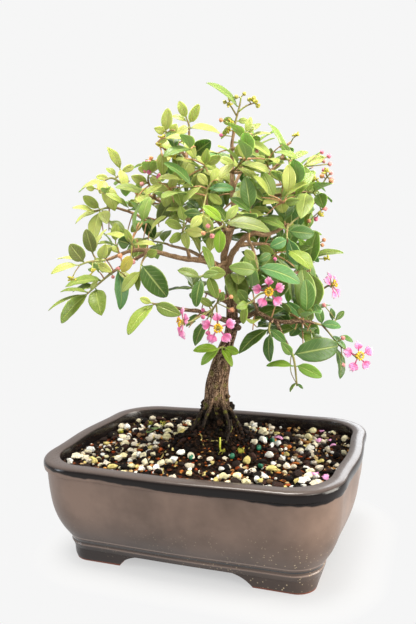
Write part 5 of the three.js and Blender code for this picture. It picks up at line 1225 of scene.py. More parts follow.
def make_leaf_surface():
    """Midrib, side veins and a darker, glossier upper face. Place holds the share of the blade's
    length, the share of its width, and 1 on the under face."""
    tree, start, end = new_effect("leaf_surface", [
        ("Tint", COLOUR, (110, 160, 60)), ("Place", VECTOR, None), ("Vein Pairs", NUMBER, 8.0),
    ], [("Color", COLOUR), ("Roughness", NUMBER), ("Height", NUMBER)])
    along, over, under = parts_of(start["Place"])
    wide = reckon("ABSOLUTE", over)
    midrib = stretch(wide, 0.03, 0.12, 1.0, 0.0)
    slant = minus(times(along, start["Vein Pairs"]), times(wide, 1.9))
    wave = off_from(reckon("FRACT", slant), 0.5)
    side_vein = times(stretch(wave, 0.0, 0.09, 1.0, 0.0), stretch(wide, 0.55, 0.95, 1.0, 0.0))
    veins = most(midrib, times(side_vein, 0.35))
    patches = speckle(own_place(tree), 160, 3)
    colour = mingle(stretch(patches, 0.35, 0.7, 0.0, 0.3), start["Tint"],
                    mingle(1.0, start["Tint"], (196, 204, 140), "MULTIPLY"))
    colour = mingle(times(veins, 0.5), colour, mingle(0.6, start["Tint"], (214, 222, 132)))
    rim = stretch(wide, 0.9, 1.0, 0.0, 0.35)
    colour = mingle(rim, colour, (196, 200, 120))
    colour = mingle(times(under, 0.45), colour, (160, 190, 120))
    tree.links.new(colour, end["Color"])
    tree.links.new(stretch(under, 0.0, 1.0, 0.36, 0.6), end["Roughness"])
    tree.links.new(minus(times(patches, 0.3), veins), end["Height"])
    return tree


def make_leaf_finish():
    material, tree, shader = new_finish(
        "leaf_green", Specular_IOR_Level=0.26, Subsurface_Weight=0.25, Subsurface_Scale=0.0015,
        Subsurface_Radius=(0.6, 1.0, 0.25))
    surface = follow("ShaderNodeGroup", {
        "Tint": point_value(tree, "leaf_tint"), "Place": point_value(tree, "leaf_place"),
    }, node_tree=make_leaf_surface())
    feed(shader, Base_Color=surface["Color"], Roughness=surface["Roughness"])
    raise_by(shader, surface["Height"], 0.0003)
    return material


def make_mottled_finish(name, light, dark, patches, grain, bump, tint=None, **constants):
    """A finish in soft patches of two colours, multiplied with each point's own tint where it has one."""
    material, tree, shader = new_finish(name, **constants)
    mottle = mottled(own_place(tree), light, dark, patches, grain)
    colour = mottle["Color"]
    if tint:
        colour = mingle(1.0, point_value(tree, tint), colour, "MULTIPLY")
    feed(shader, Base_Color=colour)
    raise_by(shader, mottle["Grain Mask"], bump)
    return material


def make_tinted_finish(name, tint, dark_share, patches, bump, **constants):
    """A finish whose colour comes with each point, mottled with a darker shade of it."""
    return make_mottled_finish(name, (255, 255, 255), (round(255 * dark_share),) * 3,
                               patches, patches * 4, bump, tint, **constants)


leaf_finish = make_leaf_finish()
stem_finish = make_mottled_finish("stem_green", (150, 160, 82), (128, 98, 62), 220.0, 1600.0,
                                  0.0002, Roughness=0.55)
twig_finish = make_mottled_finish("twig_brown", (206, 160, 112), (142, 100, 66), 260.0, 1800.0,
                                  0.0003, Roughness=0.7)
bud_finish = make_tinted_finish("bud_skin", "bud_tint", 0.7, 600.0, 0.0002, Roughness=0.5)
spray_finishes = [leaf_finish, stem_finish, bud_finish]


# Pot
CORNER_STEPS = 12
SIDE_STEPS = 14


def rounded_outline(length, width, corner, z, bow, corner_steps=CORNER_STEPS, side_steps=SIDE_STEPS):
    """Rounded rectangle whose sides bow outward, half of the bow outside its size and half inside."""
    half_length = length / 2 - corner - bow / 2
    half_width = width / 2 - corner - bow / 2
    points = []
    for sx, sy, start in ((1, 1, 0), (-1, 1, 90), (-1, -1, 180), (1, -1, 270)):
        for k in range(corner_steps + 1):
            turn = radians(start + 90 * k / corner_steps)
            points.append((sx * half_length + corner * cos(turn),
                           sy * half_width + corner * sin(turn), z))
        for k in range(1, side_steps):
            share = 1 - 2 * k / side_steps
            out = bow * (0.5 + 0.5 * cos(pi * share))
            if sx == sy:
                points.append((sx * half_length * share, sy * (half_width + corner + out), z))
            else:
                points.append((sx * (half_length + corner + out), sy * half_width * share, z))
    return points


def pot_rings():
    """The pot's outlines, up the outside, over the rim and down the inside."""
    inside = [row for row in smooth_line(POT_INSIDE, 4) if row[0] < POT_HEIGHT - 1.4]
    rows = [*POT_BASE, *smooth_line(POT_BOWL, 5), *POT_LIP, *reversed(POT_INNER_RIM), *reversed(inside)]
    return [rounded_outline(length, width, corner, z, bow) for z, length, width, corner, bow in rows]


def arch_cutter(span, through, along_x):
    """The gap between two feet, as a prism that runs right through the base."""
    half = span / 2
    top = FOOT_HEIGHT - 0.6
    profile = [(-half, -1)]
    for k in range(1, 11):
        t = k / 10
        haunch = (1 - t) ** 2 * np.array([-half, -1]) + 2 * t * (1 - t) * np.array([-half + 3, top * 0.7])
        profile.append(tuple(haunch + t * t * np.array([-half + 13, top])))
    profile = profile + [(-x, z) for x, z in reversed(profile)]
    rings = []
    for end in (-through / 2, through / 2):
        rings.extend([(end, x, z) if along_x else (x, end, z) for x, z in profile])
    return rings, loft_faces(len(profile), 2)


def cutter(name, points, faces):
    mesh = bpy.data.meshes.new(name)
    mesh.from_pydata((np.array(points) * MILLIMETRE + SHIFT * MILLIMETRE).tolist(), [], faces)
    block = bmesh.new()
    block.from_mesh(mesh)
    bmesh.ops.recalc_face_normals(block, faces=block.faces)
    block.to_mesh(mesh)
    block.free()
    return place_object(name, mesh)


def make_pot():
    rings = pot_rings()
    mould = Mould()
    mould.loft(rings, len(rings[0]))
    pot = mould.piece("pot_glazed", [make_glaze()], ["pot"])
    recess = [rounded_outline(FOOT_LENGTH - 2 * FOOT_WALL, FOOT_WIDTH - 2 * FOOT_WALL, 8, z, 0, 6, 4)
              for z in (-1, FOOT_HEIGHT - 0.2)]
    cutters = [
        cutter("cut_recess", sum(recess, []), loft_faces(len(recess[0]), 2)),
        cutter("cut_long_arch", *arch_cutter(FOOT_LENGTH - 2 * FOOT_REACH, POT_WIDTH, False)),
        cutter("cut_end_arch", *arch_cutter(FOOT_WIDTH - 2 * FOOT_REACH * 0.9, POT_LENGTH, True)),
    ]
    for number, end in enumerate((-1, 1)):
        rings = []
        for z in (2, FLOOR_TOP + 5):
            middle = np.array([end * DRAIN_SPACING / 2, 0, z])
            rings.extend(ring_across(middle, EAST, NORTH, 36, lambda _: DRAIN_RADIUS))
        cutters.append(cutter(f"cut_drain_{number}", rings, loft_faces(36, 2)))
    for block in cutters:
        cut = pot.modifiers.new(block.name, "BOOLEAN")
        cut.operation = "DIFFERENCE"
        cut.solver = "EXACT"
        cut.object = block
    bpy.context.view_layer.update()
    whole = bpy.data.meshes.new_from_object(pot.evaluated_get(bpy.context.evaluated_depsgraph_get()))
    pot.modifiers.clear()
    pot.data = whole
    for block in cutters:
        bpy.data.objects.remove(block)
    whole.materials.append(make_mottled_finish(
        "glaze_inside", (38, 32, 30), (20, 17, 18), 90.0, 1200.0, 0.0002,
        Roughness=0.16, Coat_Weight=0.4))
    for face in whole.polygons:
        x, y, z = np.array(face.center) / MILLIMETRE - SHIFT
        inward = x * face.normal.x + y * face.normal.y < -0.5 or abs(z - FLOOR_TOP) < 0.3
        if FLOOR_TOP - 0.5 < z < POT_HEIGHT - 1.3 and inward:
            face.material_index = 1
    whole.shade_smooth()
    whole.set_sharp_from_angle(angle=radians(32))


def make_drain_meshes():
    """The solid meshes stay as they are, and get their finish: dark plastic with dust in its grain."""
    finish = make_mottled_finish("mesh_plastic", (74, 70, 60), (30, 34, 32), 300.0, 2400.0,
                                 0.0001, Roughness=0.6)
    for name in ("drain_mesh_left", "drain_mesh_right"):
        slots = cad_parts[name].data.materials
        slots.clear()
        slots.append(finish)


# Soil
def soil_height(x, y):
    far = np.hypot(x - trunk_line[0][0], y - trunk_line[0][1])
    mound = SOIL_MOUND * np.exp(-(far / SOIL_MOUND_REACH) ** 2)
    front = 3.2 * np.clip(-y / 70, 0, 1)
    rough = 0.9 * np.sin(x * 0.31 + y * 0.17) * np.cos(y * 0.27 - x * 0.11)
    return SOIL_EDGE_HEIGHT + mound + front + rough


def peat_heap(x, y):
    """Peat heaped against the trunk, over the soil's own height."""
    turn = np.arctan2(y - trunk_line[0][1], x - trunk_line[0][0])
    far = np.hypot(x - trunk_line[0][0], y - trunk_line[0][1])
    return 15 * np.exp(-(far / (21 + 3 * np.sin(3 * turn + 1) + 1.6 * np.sin(7 * turn))) ** 2)


def ground_height(x, y):
    return soil_height(x, y) + peat_heap(x, y)


def crumbled(x, y):
    """Small lumps over the soil's own height."""
    return (0.5 * np.sin(x * 1.9 + 1.3 * np.sin(y * 1.1)) * np.sin(y * 2.3 + np.sin(x * 0.9))
            + 0.3 * np.sin(x * 4.1 + y * 2.7) * np.sin(y * 3.7 - x * 1.3))


def make_bed_finish():
    """Peat and crushed lava, damp and dark, with brown fibre."""
    material, tree, shader = new_finish("soil_bed", Specular_IOR_Level=0.12)
    place = own_place(tree)
    crumb = cells(place, 420)
    mottle = mottled(place, (84, 54, 34), (26, 19, 15), 180.0, 1500.0)
    colour = mingle(stretch(crumb, 0.2, 0.6, 0.0, 0.8), mottle["Color"], (18, 14, 12))
    feed(shader, Base_Color=colour, Roughness=stretch(mottle["Patch Mask"], 0.0, 1.0, 0.95, 0.8))
    raise_by(shader, minus(mottle["Grain Mask"], crumb), 0.0016)
    return material


def make_bed():
    mould = Mould()
    outline = np.array(rounded_outline(INNER_LENGTH - 0.4, INNER_WIDTH - 0.4, INNER_CORNER, 0, SIDE_BOW))
    count = len(outline)
    middle = trunk_line[0]
    shares = [1 - (k / 34) ** 1.15 for k in range(33)]
    rings = []
    for z, shrink in ((50, 0.97), (58, 0.995)):
        rings.append(np.column_stack([outline[:, 0] * shrink, outline[:, 1] * shrink, np.full(count, z)]))
    for share in shares:
        x = lerp(middle[0], outline[:, 0], share)
        y = lerp(middle[1], outline[:, 1], share)
        rings.append(np.column_stack([x, y, ground_height(x, y) + crumbled(x, y)]))
    mould.loft(rings, count)
    mould.piece("soil_peat", [make_bed_finish()], ["soil"])


def in_pot(x, y, margin):
    """Whether a place is inside the pot's inner wall, by a margin."""
    half_x = INNER_LENGTH / 2 - margin
    half_y = INNER_WIDTH / 2 - margin
    corner = INNER_CORNER - margin * 0.4
    dx = max(0, abs(x) - (half_x - corner))
    dy = max(0, abs(y) - (half_y - corner))
    return hypot(dx, dy) < corner


def near_trunk(x, y, grow):
    return hypot(x - trunk_line[0][0], y - trunk_line[0][1]) < TRUNK[0][3] * 0.62 + grow


def tone(colour):
    """A colour as each point of a piece holds it."""
    return np.array(linear(*colour)[:3])


PUMICE = [(255, 252, 242), (250, 240, 212), (244, 234, 184), (255, 255, 250), (232, 214, 136),
          (250, 236, 214), (220, 208, 184), (255, 244, 206)]
LAVA = [(34, 27, 24), (50, 39, 35), (24, 20, 19), (66, 46, 40)]
BARK_CHIP = [(178, 84, 36), (96, 50, 30), (214, 124, 56), (70, 40, 28), (228, 162, 82), (140, 74, 42)]
CRUMB = [(38, 26, 19), (54, 35, 24), (24, 18, 15), (32, 24, 20), (176, 74, 34), (74, 48, 32)]
PEAT = [(30, 21, 15), (44, 30, 21), (20, 15, 12), (26, 19, 16), (38, 28, 18), (62, 42, 28)]
SAND = [(150, 120, 84), (122, 94, 66), (182, 154, 112), (208, 178, 126), (96, 74, 54), (214, 148, 84)]


def scatter(mould, shapes, tints, draw, amount, sizes, flat, sink, heaped, margin=1.0):
    """Loose grains over the soil. heaped gives how likely a grain is at a distance from the trunk."""
    placed = 0
    for _ in range(amount * 30):
        if placed == amount:
            break
        x = (draw() - 0.5) * INNER_LENGTH
        y = (draw() - 0.5) * INNER_WIDTH
        size = lerp(sizes[0], sizes[1], draw() ** 1.8)
        far = hypot(x - trunk_line[0][0], y - trunk_line[0][1])
        if draw() > heaped(far) or not in_pot(x, y, size * 0.8 + margin) or near_trunk(x, y, size):
            continue
        points, faces = pick_one(draw, shapes)
        points = points * np.array([size, size * lerp(0.65, 1, draw()), size * flat * lerp(0.7, 1, draw())])
        points = turned(points, draw() * 2 * pi, (draw() - 0.5) * 0.9)
        height = ground_height(x, y) + size * flat * (1 - sink * 2 * draw())
        tint = tone(pick_one(draw, tints)) * lerp(0.78, 1.1, draw())
        mould.add(points + np.array([x, y, height]), faces, grit_tint=tint)
        placed += 1


def big_grains(mould, shapes):
    """The largest lumps, where the solid soil has them."""
    draw = seeded(7)
    shade = seeded(19)
    for k in range(GRAIN_COUNT):
        turn = k * 2.39996
        reach = sqrt((k + 0.5) / GRAIN_COUNT)
        x = (INNER_LENGTH / 2 - 4) * reach * cos(turn) + 3 * (draw() - 0.5)
        y = (INNER_WIDTH / 2 - 4) * reach * sin(turn) + 3 * (draw() - 0.5)
        size = lerp(GRAIN_SMALL, GRAIN_LARGE, draw() ** 1.6)
        wide = 0.7 + 0.3 * draw()
        tip, turn = draw() - 0.5, draw() * 6
        points, faces = pick_one(shade, shapes)
        tints = PUMICE if shade() < 0.6 else LAVA
        tint = tone(pick_one(shade, tints))
        if not in_pot(x, y, size * 0.8) or near_trunk(x, y, size):
            continue
        points = turned(points * np.array([size, size * wide, size * 0.62]) * 0.9, turn, tip)
        mould.add(points + np.array([x, y, soil_height(x, y) + size * 0.25]), faces, grit_tint=tint)


def cling(mould, shapes, draw, amount):
    """Peat that clings to the foot of the trunk and hides its roots."""
    rows = trunk_rows()
    for _ in range(amount):
        row = rows[int(draw() * len(rows) * 0.5)]
        turn = draw() * 2 * pi
        size = lerp(0.7, 3.8, draw() ** 1.5)
        reach = row[3] * (1 + row[4] * cos(ROOT_LOBES * turn)) + size * 0.2
        place = row[:3] + ACROSS * reach * cos(turn) + AWAY * reach * sin(turn)
        if place[2] > lerp(80, 99, draw() ** 1.6):
            continue
        points, faces = pick_one(draw, shapes)
        points = turned(points * np.array([size, size * 0.8, size * 0.8]), draw() * 6, draw())
        tint = tone(pick_one(draw, PEAT)) * lerp(0.8, 1.2, draw())
        mould.add(points + place, faces, grit_tint=tint)


def make_grit():
    draw = seeded(41)
    stones = pebble_shapes(12, 2, 0.07, 5, 11)
    crumbs = pebble_shapes(6, 1, 0.3, 6)

    def outer(far):
        return min(1.0, max(0.0, (far - 27) / 22))

    def within(limit, beyond):
        return lambda far: 1.0 if far < limit else beyond

    grit = Mould()
    big_grains(grit, stones)
    scatter(grit, stones, LAVA, draw, 380, (1.3, 4.2), 0.75, 0.25, lambda far: 0.35 + 0.65 * outer(far))
    scatter(grit, stones, PUMICE, draw, 290, (1.9, 4.2), 0.78, 0.08, outer)
    scatter(grit, stones, PUMICE, draw, 170, (1.1, 2.0), 0.8, 0.05, outer)
    scatter(grit, stones, SAND, draw, 330, (0.9, 2.4), 0.8, 0.05, outer)
    stone_finish = make_tinted_finish("pumice_and_lava", "grit_tint", 0.78, 520.0, 0.0006, Roughness=0.92,
                                      Specular_IOR_Level=0.12)
    grit.piece("grit_stones", [stone_finish], sharp_degrees=28)
    litter = Mould()
    scatter(litter, crumbs, BARK_CHIP, draw, 460, (0.8, 2.8), 0.3, 0.05, lambda far: 0.3 + 0.7 * outer(far))
    scatter(litter, crumbs, BARK_CHIP, draw, 130, (2.0, 4.2), 0.34, 0.1, outer)
    scatter(litter, crumbs, CRUMB, draw, 1700, (0.5, 1.8), 0.7, 0.1, within(48, 0.45))
    scatter(litter, crumbs, PEAT, draw, 1300, (0.8, 2.6), 0.8, 0.2, within(34, 0.12))
    scatter(litter, crumbs, BARK_CHIP, draw, 420, (0.5, 1.6), 0.5, 0.0, within(40, 0.0))
    cling(litter, crumbs, draw, 3200)
    crumb_finish = make_tinted_finish("bark_and_peat", "grit_tint", 0.55, 700.0, 0.0004, Roughness=0.88,
                                      Specular_IOR_Level=0.12)
    litter.piece("grit_bark_and_peat", [crumb_finish])


# What lies on the soil, by its place in the front view
PRILLS = [
    (264.7, 438.8), (271.8, 440), (258.4, 447.5), (231.8, 455.8), (260.4, 465.6), (191, 457), (188, 482),
]
FALLEN_PETALS = [(278.4, 437.5), (322, 431), (318, 440), (329, 440), (333, 445), (315, 473), (325.5, 477)]
MOSS_TUFTS = [(121, 432), (163, 425), (150, 424), (221, 453), (241, 452)]
ROOT_THREADS = [
    [(199, 433), (202, 437), (201, 442), (205, 446)],
    [(160, 470), (159, 463), (162, 457), (166, 451)],
    [(163, 474), (163, 466), (160, 459)],
    [(225, 440), (214, 441), (206, 440)],
    [(131, 444), (138, 446), (146, 445)],
]
SPROUT = (219.8, 452)
FALLEN_LEAF = [(146, 434), (161, 428)]
PRILL_TONE = tone((12, 108, 76))
PETAL_TONE = tone((246, 160, 214))
MOSS_TONE = tone((176, 176, 56))
THREAD_TONE = tone((182, 166, 92))
SPROUT_TONE = tone((206, 214, 70))


def on_soil(x, y, lift):
    """The place on the soil that shows at a point of the front view, raised by a little."""
    for step in range(320):
        place = seen(x, y, -90 + step * 0.5)
        if place[2] <= ground_height(place[0], place[1]) + lift:
            break
    return place


def make_litter():
    """Fertiliser prills, fallen petals and a leaf, moss, a sprout and root threads."""
    mould = Mould()
    draw = seeded(29)
    stones = pebble_shapes(3, 2, 0.04, 12)
    for x, y in PRILLS:
        points, faces = pick_one(draw, stones)
        mould.add(points * lerp(1.9, 2.3, draw()) + on_soil(x, y, 3.2), faces, litter_tint=PRILL_TONE)
    for x, y in FALLEN_PETALS:
        add_scrap(mould, on_soil(x, y, 4.2), lerp(2.2, 3.4, draw()), PETAL_TONE, draw)
    for x, y in MOSS_TUFTS:
        for _ in range(42):
            root = on_soil(x + 5 * (draw() - 0.5), y + 3.4 * (draw() - 0.5), 0.6)
            tip = root + np.array([2.2 * (draw() - 0.5), 2.2 * (draw() - 0.5), lerp(0.9, 2.2, draw())])
            add_stalk(mould, root, tip, (0.34, 0.12), 5, litter_tint=MOSS_TONE)
    for picks in ROOT_THREADS:
        line = smooth_line([on_soil(x, y, 1.0) for x, y in picks], 5)
        add_rod(mould, line, (0.45, 0.45), 7, litter_tint=THREAD_TONE)
    sprout = on_soil(*SPROUT, 0.4)
    line = [sprout, sprout + UP * 5 + ACROSS * 0.3, sprout + UP * 9.6 + ACROSS * 0.5]
    add_rod(mould, line, (0.7, 0.5), 8, litter_tint=SPROUT_TONE)
    mould.piece("litter_on_soil", [
        make_tinted_finish("litter_soft", "litter_tint", 0.72, 500.0, 0.0002, Roughness=0.55)])
    fallen = Mould()
    low, high = on_soil(*FALLEN_LEAF[0], 1.6), on_soil(*FALLEN_LEAF[1], 2.6)
    face = squarely(unit(high - low), UP)
    leaf = make_leaf(low, low, high, 3.4, face)
    leaf.tint = "deep"
    add_leaf(fallen, leaf, draw)
    fallen.piece("leaf_fallen", [leaf_finish])


def add_scrap(mould, place, size, tint, draw):
    """A crumpled petal lying on the grains."""
    turn = draw() * 6
    first = np.array([cos(turn), sin(turn), 0.5 * (draw() - 0.5)])
    rings = []
    for height in (-0.12, 0.12):
        rings.append([place + size * (first * cos(a) + np.cross(UP, first) * 0.7 * sin(a))
                      * (1 + 0.12 * cos(5 * a)) + UP * (height + 0.5 * cos(2 * a + turn))
                      for a in (2 * pi * k / 14 for k in range(14))])
    mould.loft(rings, 14, litter_tint=tint)


# Wood
TRUNK_SIDES = 56


def trunk_rows():
    """Middle, radius and fluting along the trunk, closer together than the picks."""
    rows = [np.array([*seen(x, y, depth), radius, fluting]) for x, y, depth, radius, fluting in TRUNK]
    return smooth_line(rows, 8)


CLEFTS = ((3.95, 0.13), (5.1, 0.06), (0.9, 0.08), (2.2, 0.07))


def furrow(turn, along, radius):
    """Ridges of the bark, as a share of the radius."""
    wave = 0.5 * sin(9 * turn + 0.11 * along + 1.4 * sin(0.07 * along))
    wave += 0.35 * sin(14 * turn - 0.16 * along + 2 * sin(0.05 * along + 1))
    wave += 0.25 * sin(23 * turn + 0.3 * along)
    cleft = sum(depth * exp(-((turn - at + 0.12 * sin(0.06 * along)) / 0.15) ** 2)
                for at, depth in CLEFTS)
    return wave * min(0.05, 0.34 / radius) - cleft


def flow_ring(sides, reach, along):
    """Where each point of a ring lies in the grain of the bark."""
    turns = [2 * pi * k / sides for k in range(sides)]
    return [(cos(turn) * reach, sin(turn) * reach, along) for turn in turns]


def add_trunk(mould):
    seat = trunk_line[0].copy()
    seat[2] = TRUNK_SEAT
    rows = trunk_rows()
    rings = [ring_across(seat, ACROSS, AWAY, TRUNK_SIDES, lambda _: TRUNK[0][3] * SEAT_SHRINK)]
    flow = flow_ring(TRUNK_SIDES, 1, 0)
    gone = 0.0
    for i, row in enumerate(rows):
        middle, radius, fluting = row[:3], row[3], row[4]
        if i > 0:
            gone += norm(middle - rows[i - 1][:3])
        twist = i / 8 * 0.12

        def reach(turn):
            lobes = fluting * cos(ROOT_LOBES * turn + twist)
            finer = 0.35 * fluting * sin(11 * turn + 0.05 * gone)
            return radius * (1 + lobes + finer + furrow(turn, gone, radius))

        rings.append(ring_across(middle, ACROSS, AWAY, TRUNK_SIDES, reach))
        flow.extend(flow_ring(TRUNK_SIDES, radius * 0.9, gone * 0.14))
    mould.loft(rings, TRUNK_SIDES, bark_flow=flow)


def add_limb(mould, line, thick, thin, number, collar=0.5):
    """A limb that swells where it leaves its parent, with small knuckles along it."""
    rounder = smooth_line(line, 5)
    total = length_of(rounder)

    def radius_at(share):
        swell = collar * exp(-share * total / 3.2)
        knuckle = 0.07 * sin(share * total * 0.9 + number * 2.1)
        return lerp(thick, thin, share) * (1 + swell + knuckle)

    sides = 14 if thick > 1.6 else 10
    rings, flow, gone = [], [], 0.0
    for i, point, side, front in line_frames(rounder):
        if i > 0:
            gone += norm(point - rounder[i - 1])
        radius = radius_at(gone / total)
        rings.extend(ring_across(point, side, front, sides,
                                 lambda turn: radius * (1 + 0.05 * sin(3 * turn + gone))))
        flow.extend(flow_ring(sides, radius, gone * 0.16 + number * 3.7))
    mould.loft(rings, sides, bark_flow=flow)


# Roots that show above the peat
ROOTS = [
    # start radius, end radius, front-view places with depth
    [1.9, 1.2, [(217, 390, -6), (224, 402, -9), (227, 407, -11), (231, 411, -11), (235, 418, -12),
                (240, 427, -14)]],
    [2.1, 1.3, [(214, 392, -6), (208, 403, -9), (205, 409, -11), (201, 414, -12), (196, 423, -13),
                (191, 431, -14)]],
    [1.5, 0.9, [(212, 398, -14), (210, 408, -16), (206, 417, -18), (203, 427, -21)]],
    [1.6, 0.8, [(222, 400, -13), (225, 411, -17), (228, 421, -20), (229, 431, -24)]],
    [1.2, 0.7, [(230, 420, -17), (231, 428, -20), (228, 436, -24), (226, 443, -27)]],
]
KNOBS = [(238, 327, -10, 2.6), (228, 396, -10, 1.8), (226, 352, -12, 1.5)]


def fruit_twig():
    end = fruit_middle + UP * 7
    return [nearest_on([WOOD_LINES["right_up"], WOOD_LINES["leader"]], end), end]


def make_wood():
    mould = Mould()
    add_trunk(mould)
    add_limb(mould, WOOD_LINES["leader"], *LEADER_RADII, 0, 0.1)
    pegs = list(peg_of.values())
    for number, (name, (_, thick, thin, _)) in enumerate(LIMBS.items()):
        line = WOOD_LINES[name]
        onward = [k for k, peg in enumerate(pegs) if norm(peg[0] - line[-1]) < 0.01]
        if onward:
            line = [*line, pegs.pop(onward[0])[1]]
        add_limb(mould, line, thick, thin, number + 1)
    for number, peg in enumerate(pegs):
        add_limb(mould, peg, STEM_RADIUS + 0.3, STEM_RADIUS + 0.1, number + 40, 0.3)
    add_limb(mould, fruit_twig(), 0.9, 0.7, 90, 0.2)
    for number, (thick, thin, picks) in enumerate(ROOTS):
        add_limb(mould, seen_line(picks), thick, thin, 60 + number, 0)
    draw = seeded(88)
    stones = pebble_shapes(3, 2, 0.16, 4)
    for x, y, depth, radius in KNOBS:
        points, faces = pick_one(draw, stones)
        mould.add(points * radius + seen(x, y, depth), faces, bark_flow=points * radius)
    mould.piece("wood_bark", [make_bark()], ["wood"])


# Leaves, stems and buds
LEAF_RING = 12
PETIOLE_RADIUS = 0.42
LEAF_SHARES = (0.0, 0.05, 0.12, 0.22, 0.34, 0.47, 0.6, 0.72, 0.83, 0.91, 0.965)
LEAF_TINTS = {
    "deep": (62, 86, 34), "mid": (128, 144, 60), "bright": (184, 188, 106), "pale": (110, 116, 64),
    "blue": (84, 126, 78), "yellow": (190, 176, 84), "fresh": (130, 160, 40), "olive": (116, 132, 66),
}
SHADED_TINTS = [(82, 104, 42), (112, 130, 52), (150, 150, 74), (62, 86, 36), (158, 172, 84), (98, 134, 72)]
COOL_GREEN = (92, 134, 70)


def blade_width(share, blunt):
    return sin(pi * share ** 0.92) ** blunt


def leaf_tint(leaf, draw):
    """The leaf's green, with painted light and shade: lighter at the left and the top of the crown,
    deeper low on the right and inside."""
    if leaf.tint == "shaded":
        first, second = (tone(pick_one(draw, SHADED_TINTS)) for _ in range(2))
        base = lerp(first, second, 0.5)
    elif leaf.tint:
        base = tone(LEAF_TINTS[leaf.tint])
    else:
        start = leaf.start
        # Painted light and shade by place: lighter to the left, higher up and nearer, deeper to the right,
        # lower down and further back.
        light = 0.5 - (start @ ACROSS) / 380 + (start[2] - 195) / 150 - (start @ AWAY) / 260
        light = min(0.95, max(0, light + 0.6 * (draw() - 0.5)))
        deep, mid, bright = (tone(LEAF_TINTS[k]) for k in ("deep", "mid", "bright"))
        base = lerp(deep, mid, light * 2) if light < 0.5 else lerp(mid, bright, light * 2 - 1)
    cool = 0.3 + (leaf.start @ ACROSS) / 130
    base = lerp(base, tone(COOL_GREEN), min(1, max(0, cool)) * draw() * 0.75)
    return base * lerp(0.84, 1.14, draw())


def add_leaf(mould, leaf, draw):
    start, tip, face, side, half = leaf.start, leaf.tip, leaf.face, leaf.side, leaf.half
    twist = 0.3 * (draw() - 0.5)
    phase, waves = draw() * 6.28, lerp(5, 9, draw())
    wave_height = lerp(0.02, 0.07, draw())
    blunt = lerp(0.5, 0.74, draw())
    turns = [pi - 2 * pi * k / LEAF_RING for k in range(LEAF_RING)]
    rings, places = [], []

    def add_ring(point, radius, share):
        rings.append([point + side * (radius * cos(a)) + face * (radius * sin(a)) for a in turns])
        places.extend([(share, 0, 0)] * LEAF_RING)

    root = leaf.root
    add_ring(root, PETIOLE_RADIUS, 0)
    add_ring(lerp(root, start, 0.5) - UP * 0.06 * norm(start - root), PETIOLE_RADIUS, 0)
    for share in LEAF_SHARES:
        wide = half * blade_width(share, blunt)
        if share < 0.1:
            wide = max(0.45, wide * (0.5 + share * 5))
        c, s = cos(twist * (share - 0.3)), sin(twist * (share - 0.3))
        out, top = side * c + face * s, face * c - side * s
        thick = lerp(0.4, 0.16, share)
        ring = []
        for a in turns:
            over, above = cos(a), sin(a)
            fold = LEAF_FOLD * abs(over) * wide
            swing = sin(waves * share * 2 + phase + (2 if over > 0 else 0))
            ripple = wave_height * half * over * over * swing
            groove = 0
            if abs(over) < 0.1:
                groove = -0.12 if above > 0 else -0.2
            ring.append(blade_point(leaf, share) + out * over * wide
                        + top * (fold + ripple + thick * above + groove))
            places.append((share, over, 1 if above < -0.01 else 0))
        rings.append(ring)
    add_ring(tip, 0.05, 1)
    mould.loft(rings, LEAF_RING, leaf_place=places, leaf_tint=leaf_tint(leaf, draw))


BUD_TINTS = [(250, 136, 158), (250, 172, 166), (240, 166, 120), (248, 130, 174), (250, 156, 152)]
SPENT_TINT = (206, 196, 96)
SPENT_TWIG_TONE = tone((206, 196, 66))
BUD_PROFILE = ((-0.95, 0.28), (-0.6, 0.72), (-0.1, 1.0), (0.4, 0.86), (0.8, 0.48), (0.98, 0.12))


def add_bud(mould, place, root, draw, spent=False):
    way = unit(place - root)
    first = squarely(way, AWAY)
    second = np.cross(way, first)
    add_stalk(mould, root, place, (0.34, 0.42), 6, 1)
    size = BUD_RADIUS * lerp(0.72, 1.0, draw())
    profile = [(height, size * width) for height, width in BUD_PROFILE]
    tint = pick_one(draw, BUD_TINTS)
    add_turned(mould, place, way * size, first, second, profile, 10, 2, 5, 0.07,
               bud_tint=tone(SPENT_TINT if spent else tint))


def make_sprays():
    for number, name in enumerate(SPRAYS):
        mould = Mould()
        draw = seeded(500 + number)
        stems = stems_of[name]
        peg_way = unit(peg_of[name][1] - peg_of[name][0])
        main = [peg_of[name][1] + peg_way * TOUCH_GAP, *stems[0][1:]]
        for line, thick in [(main, 1.0), *[(stem, 0.85) for stem in stems[1:]]]:
            radius = STEM_RADIUS * thick
            add_rod(mould, smooth_line(line, 4), (radius * 0.95, radius * 0.62), 8, 1)
        for leaf in leaves_of[name]:
            add_leaf(mould, leaf, draw)
        for place, root in buds_of[name]:
            add_bud(mould, place, root, draw, name == "spray_crown_apex")
        for flower in flowers:
            if flower.carrier == name:
                add_rod(mould, smooth_line(flower.stalk, 4), (0.5, 0.75), 8, 1)
        mould.piece(name.replace("spray", "leaves"), spray_finishes, [name])


def make_inner_shoots():
    """Short shoots and leaves inside the crown."""
    mould = Mould()
    draw = seeded(77)
    for line, leaves in inner_shoots:
        add_rod(mould, smooth_line(line, 3), (0.55, 0.36), 6, 1)
        for leaf in leaves:
            add_leaf(mould, leaf, draw)
    mould.piece("leaves_inner", [leaf_finish, twig_finish])


def add_spent_flower(mould, place, root, draw):
    """A dry yellow tuft on a bowed stalk."""
    add_stalk(mould, root, place, (0.4, 0.4), 6, 1, 0.5, 0.8)
    for _ in range(9):
        way = unit(np.array([draw() - 0.5, draw() - 0.5, draw() - 0.2]))
        tip = place + way * lerp(1.8, 3.4, draw())
        add_stalk(mould, place, tip, (0.34, 0.7), 5, 2, 0.6, bud_tint=SPENT_TWIG_TONE)


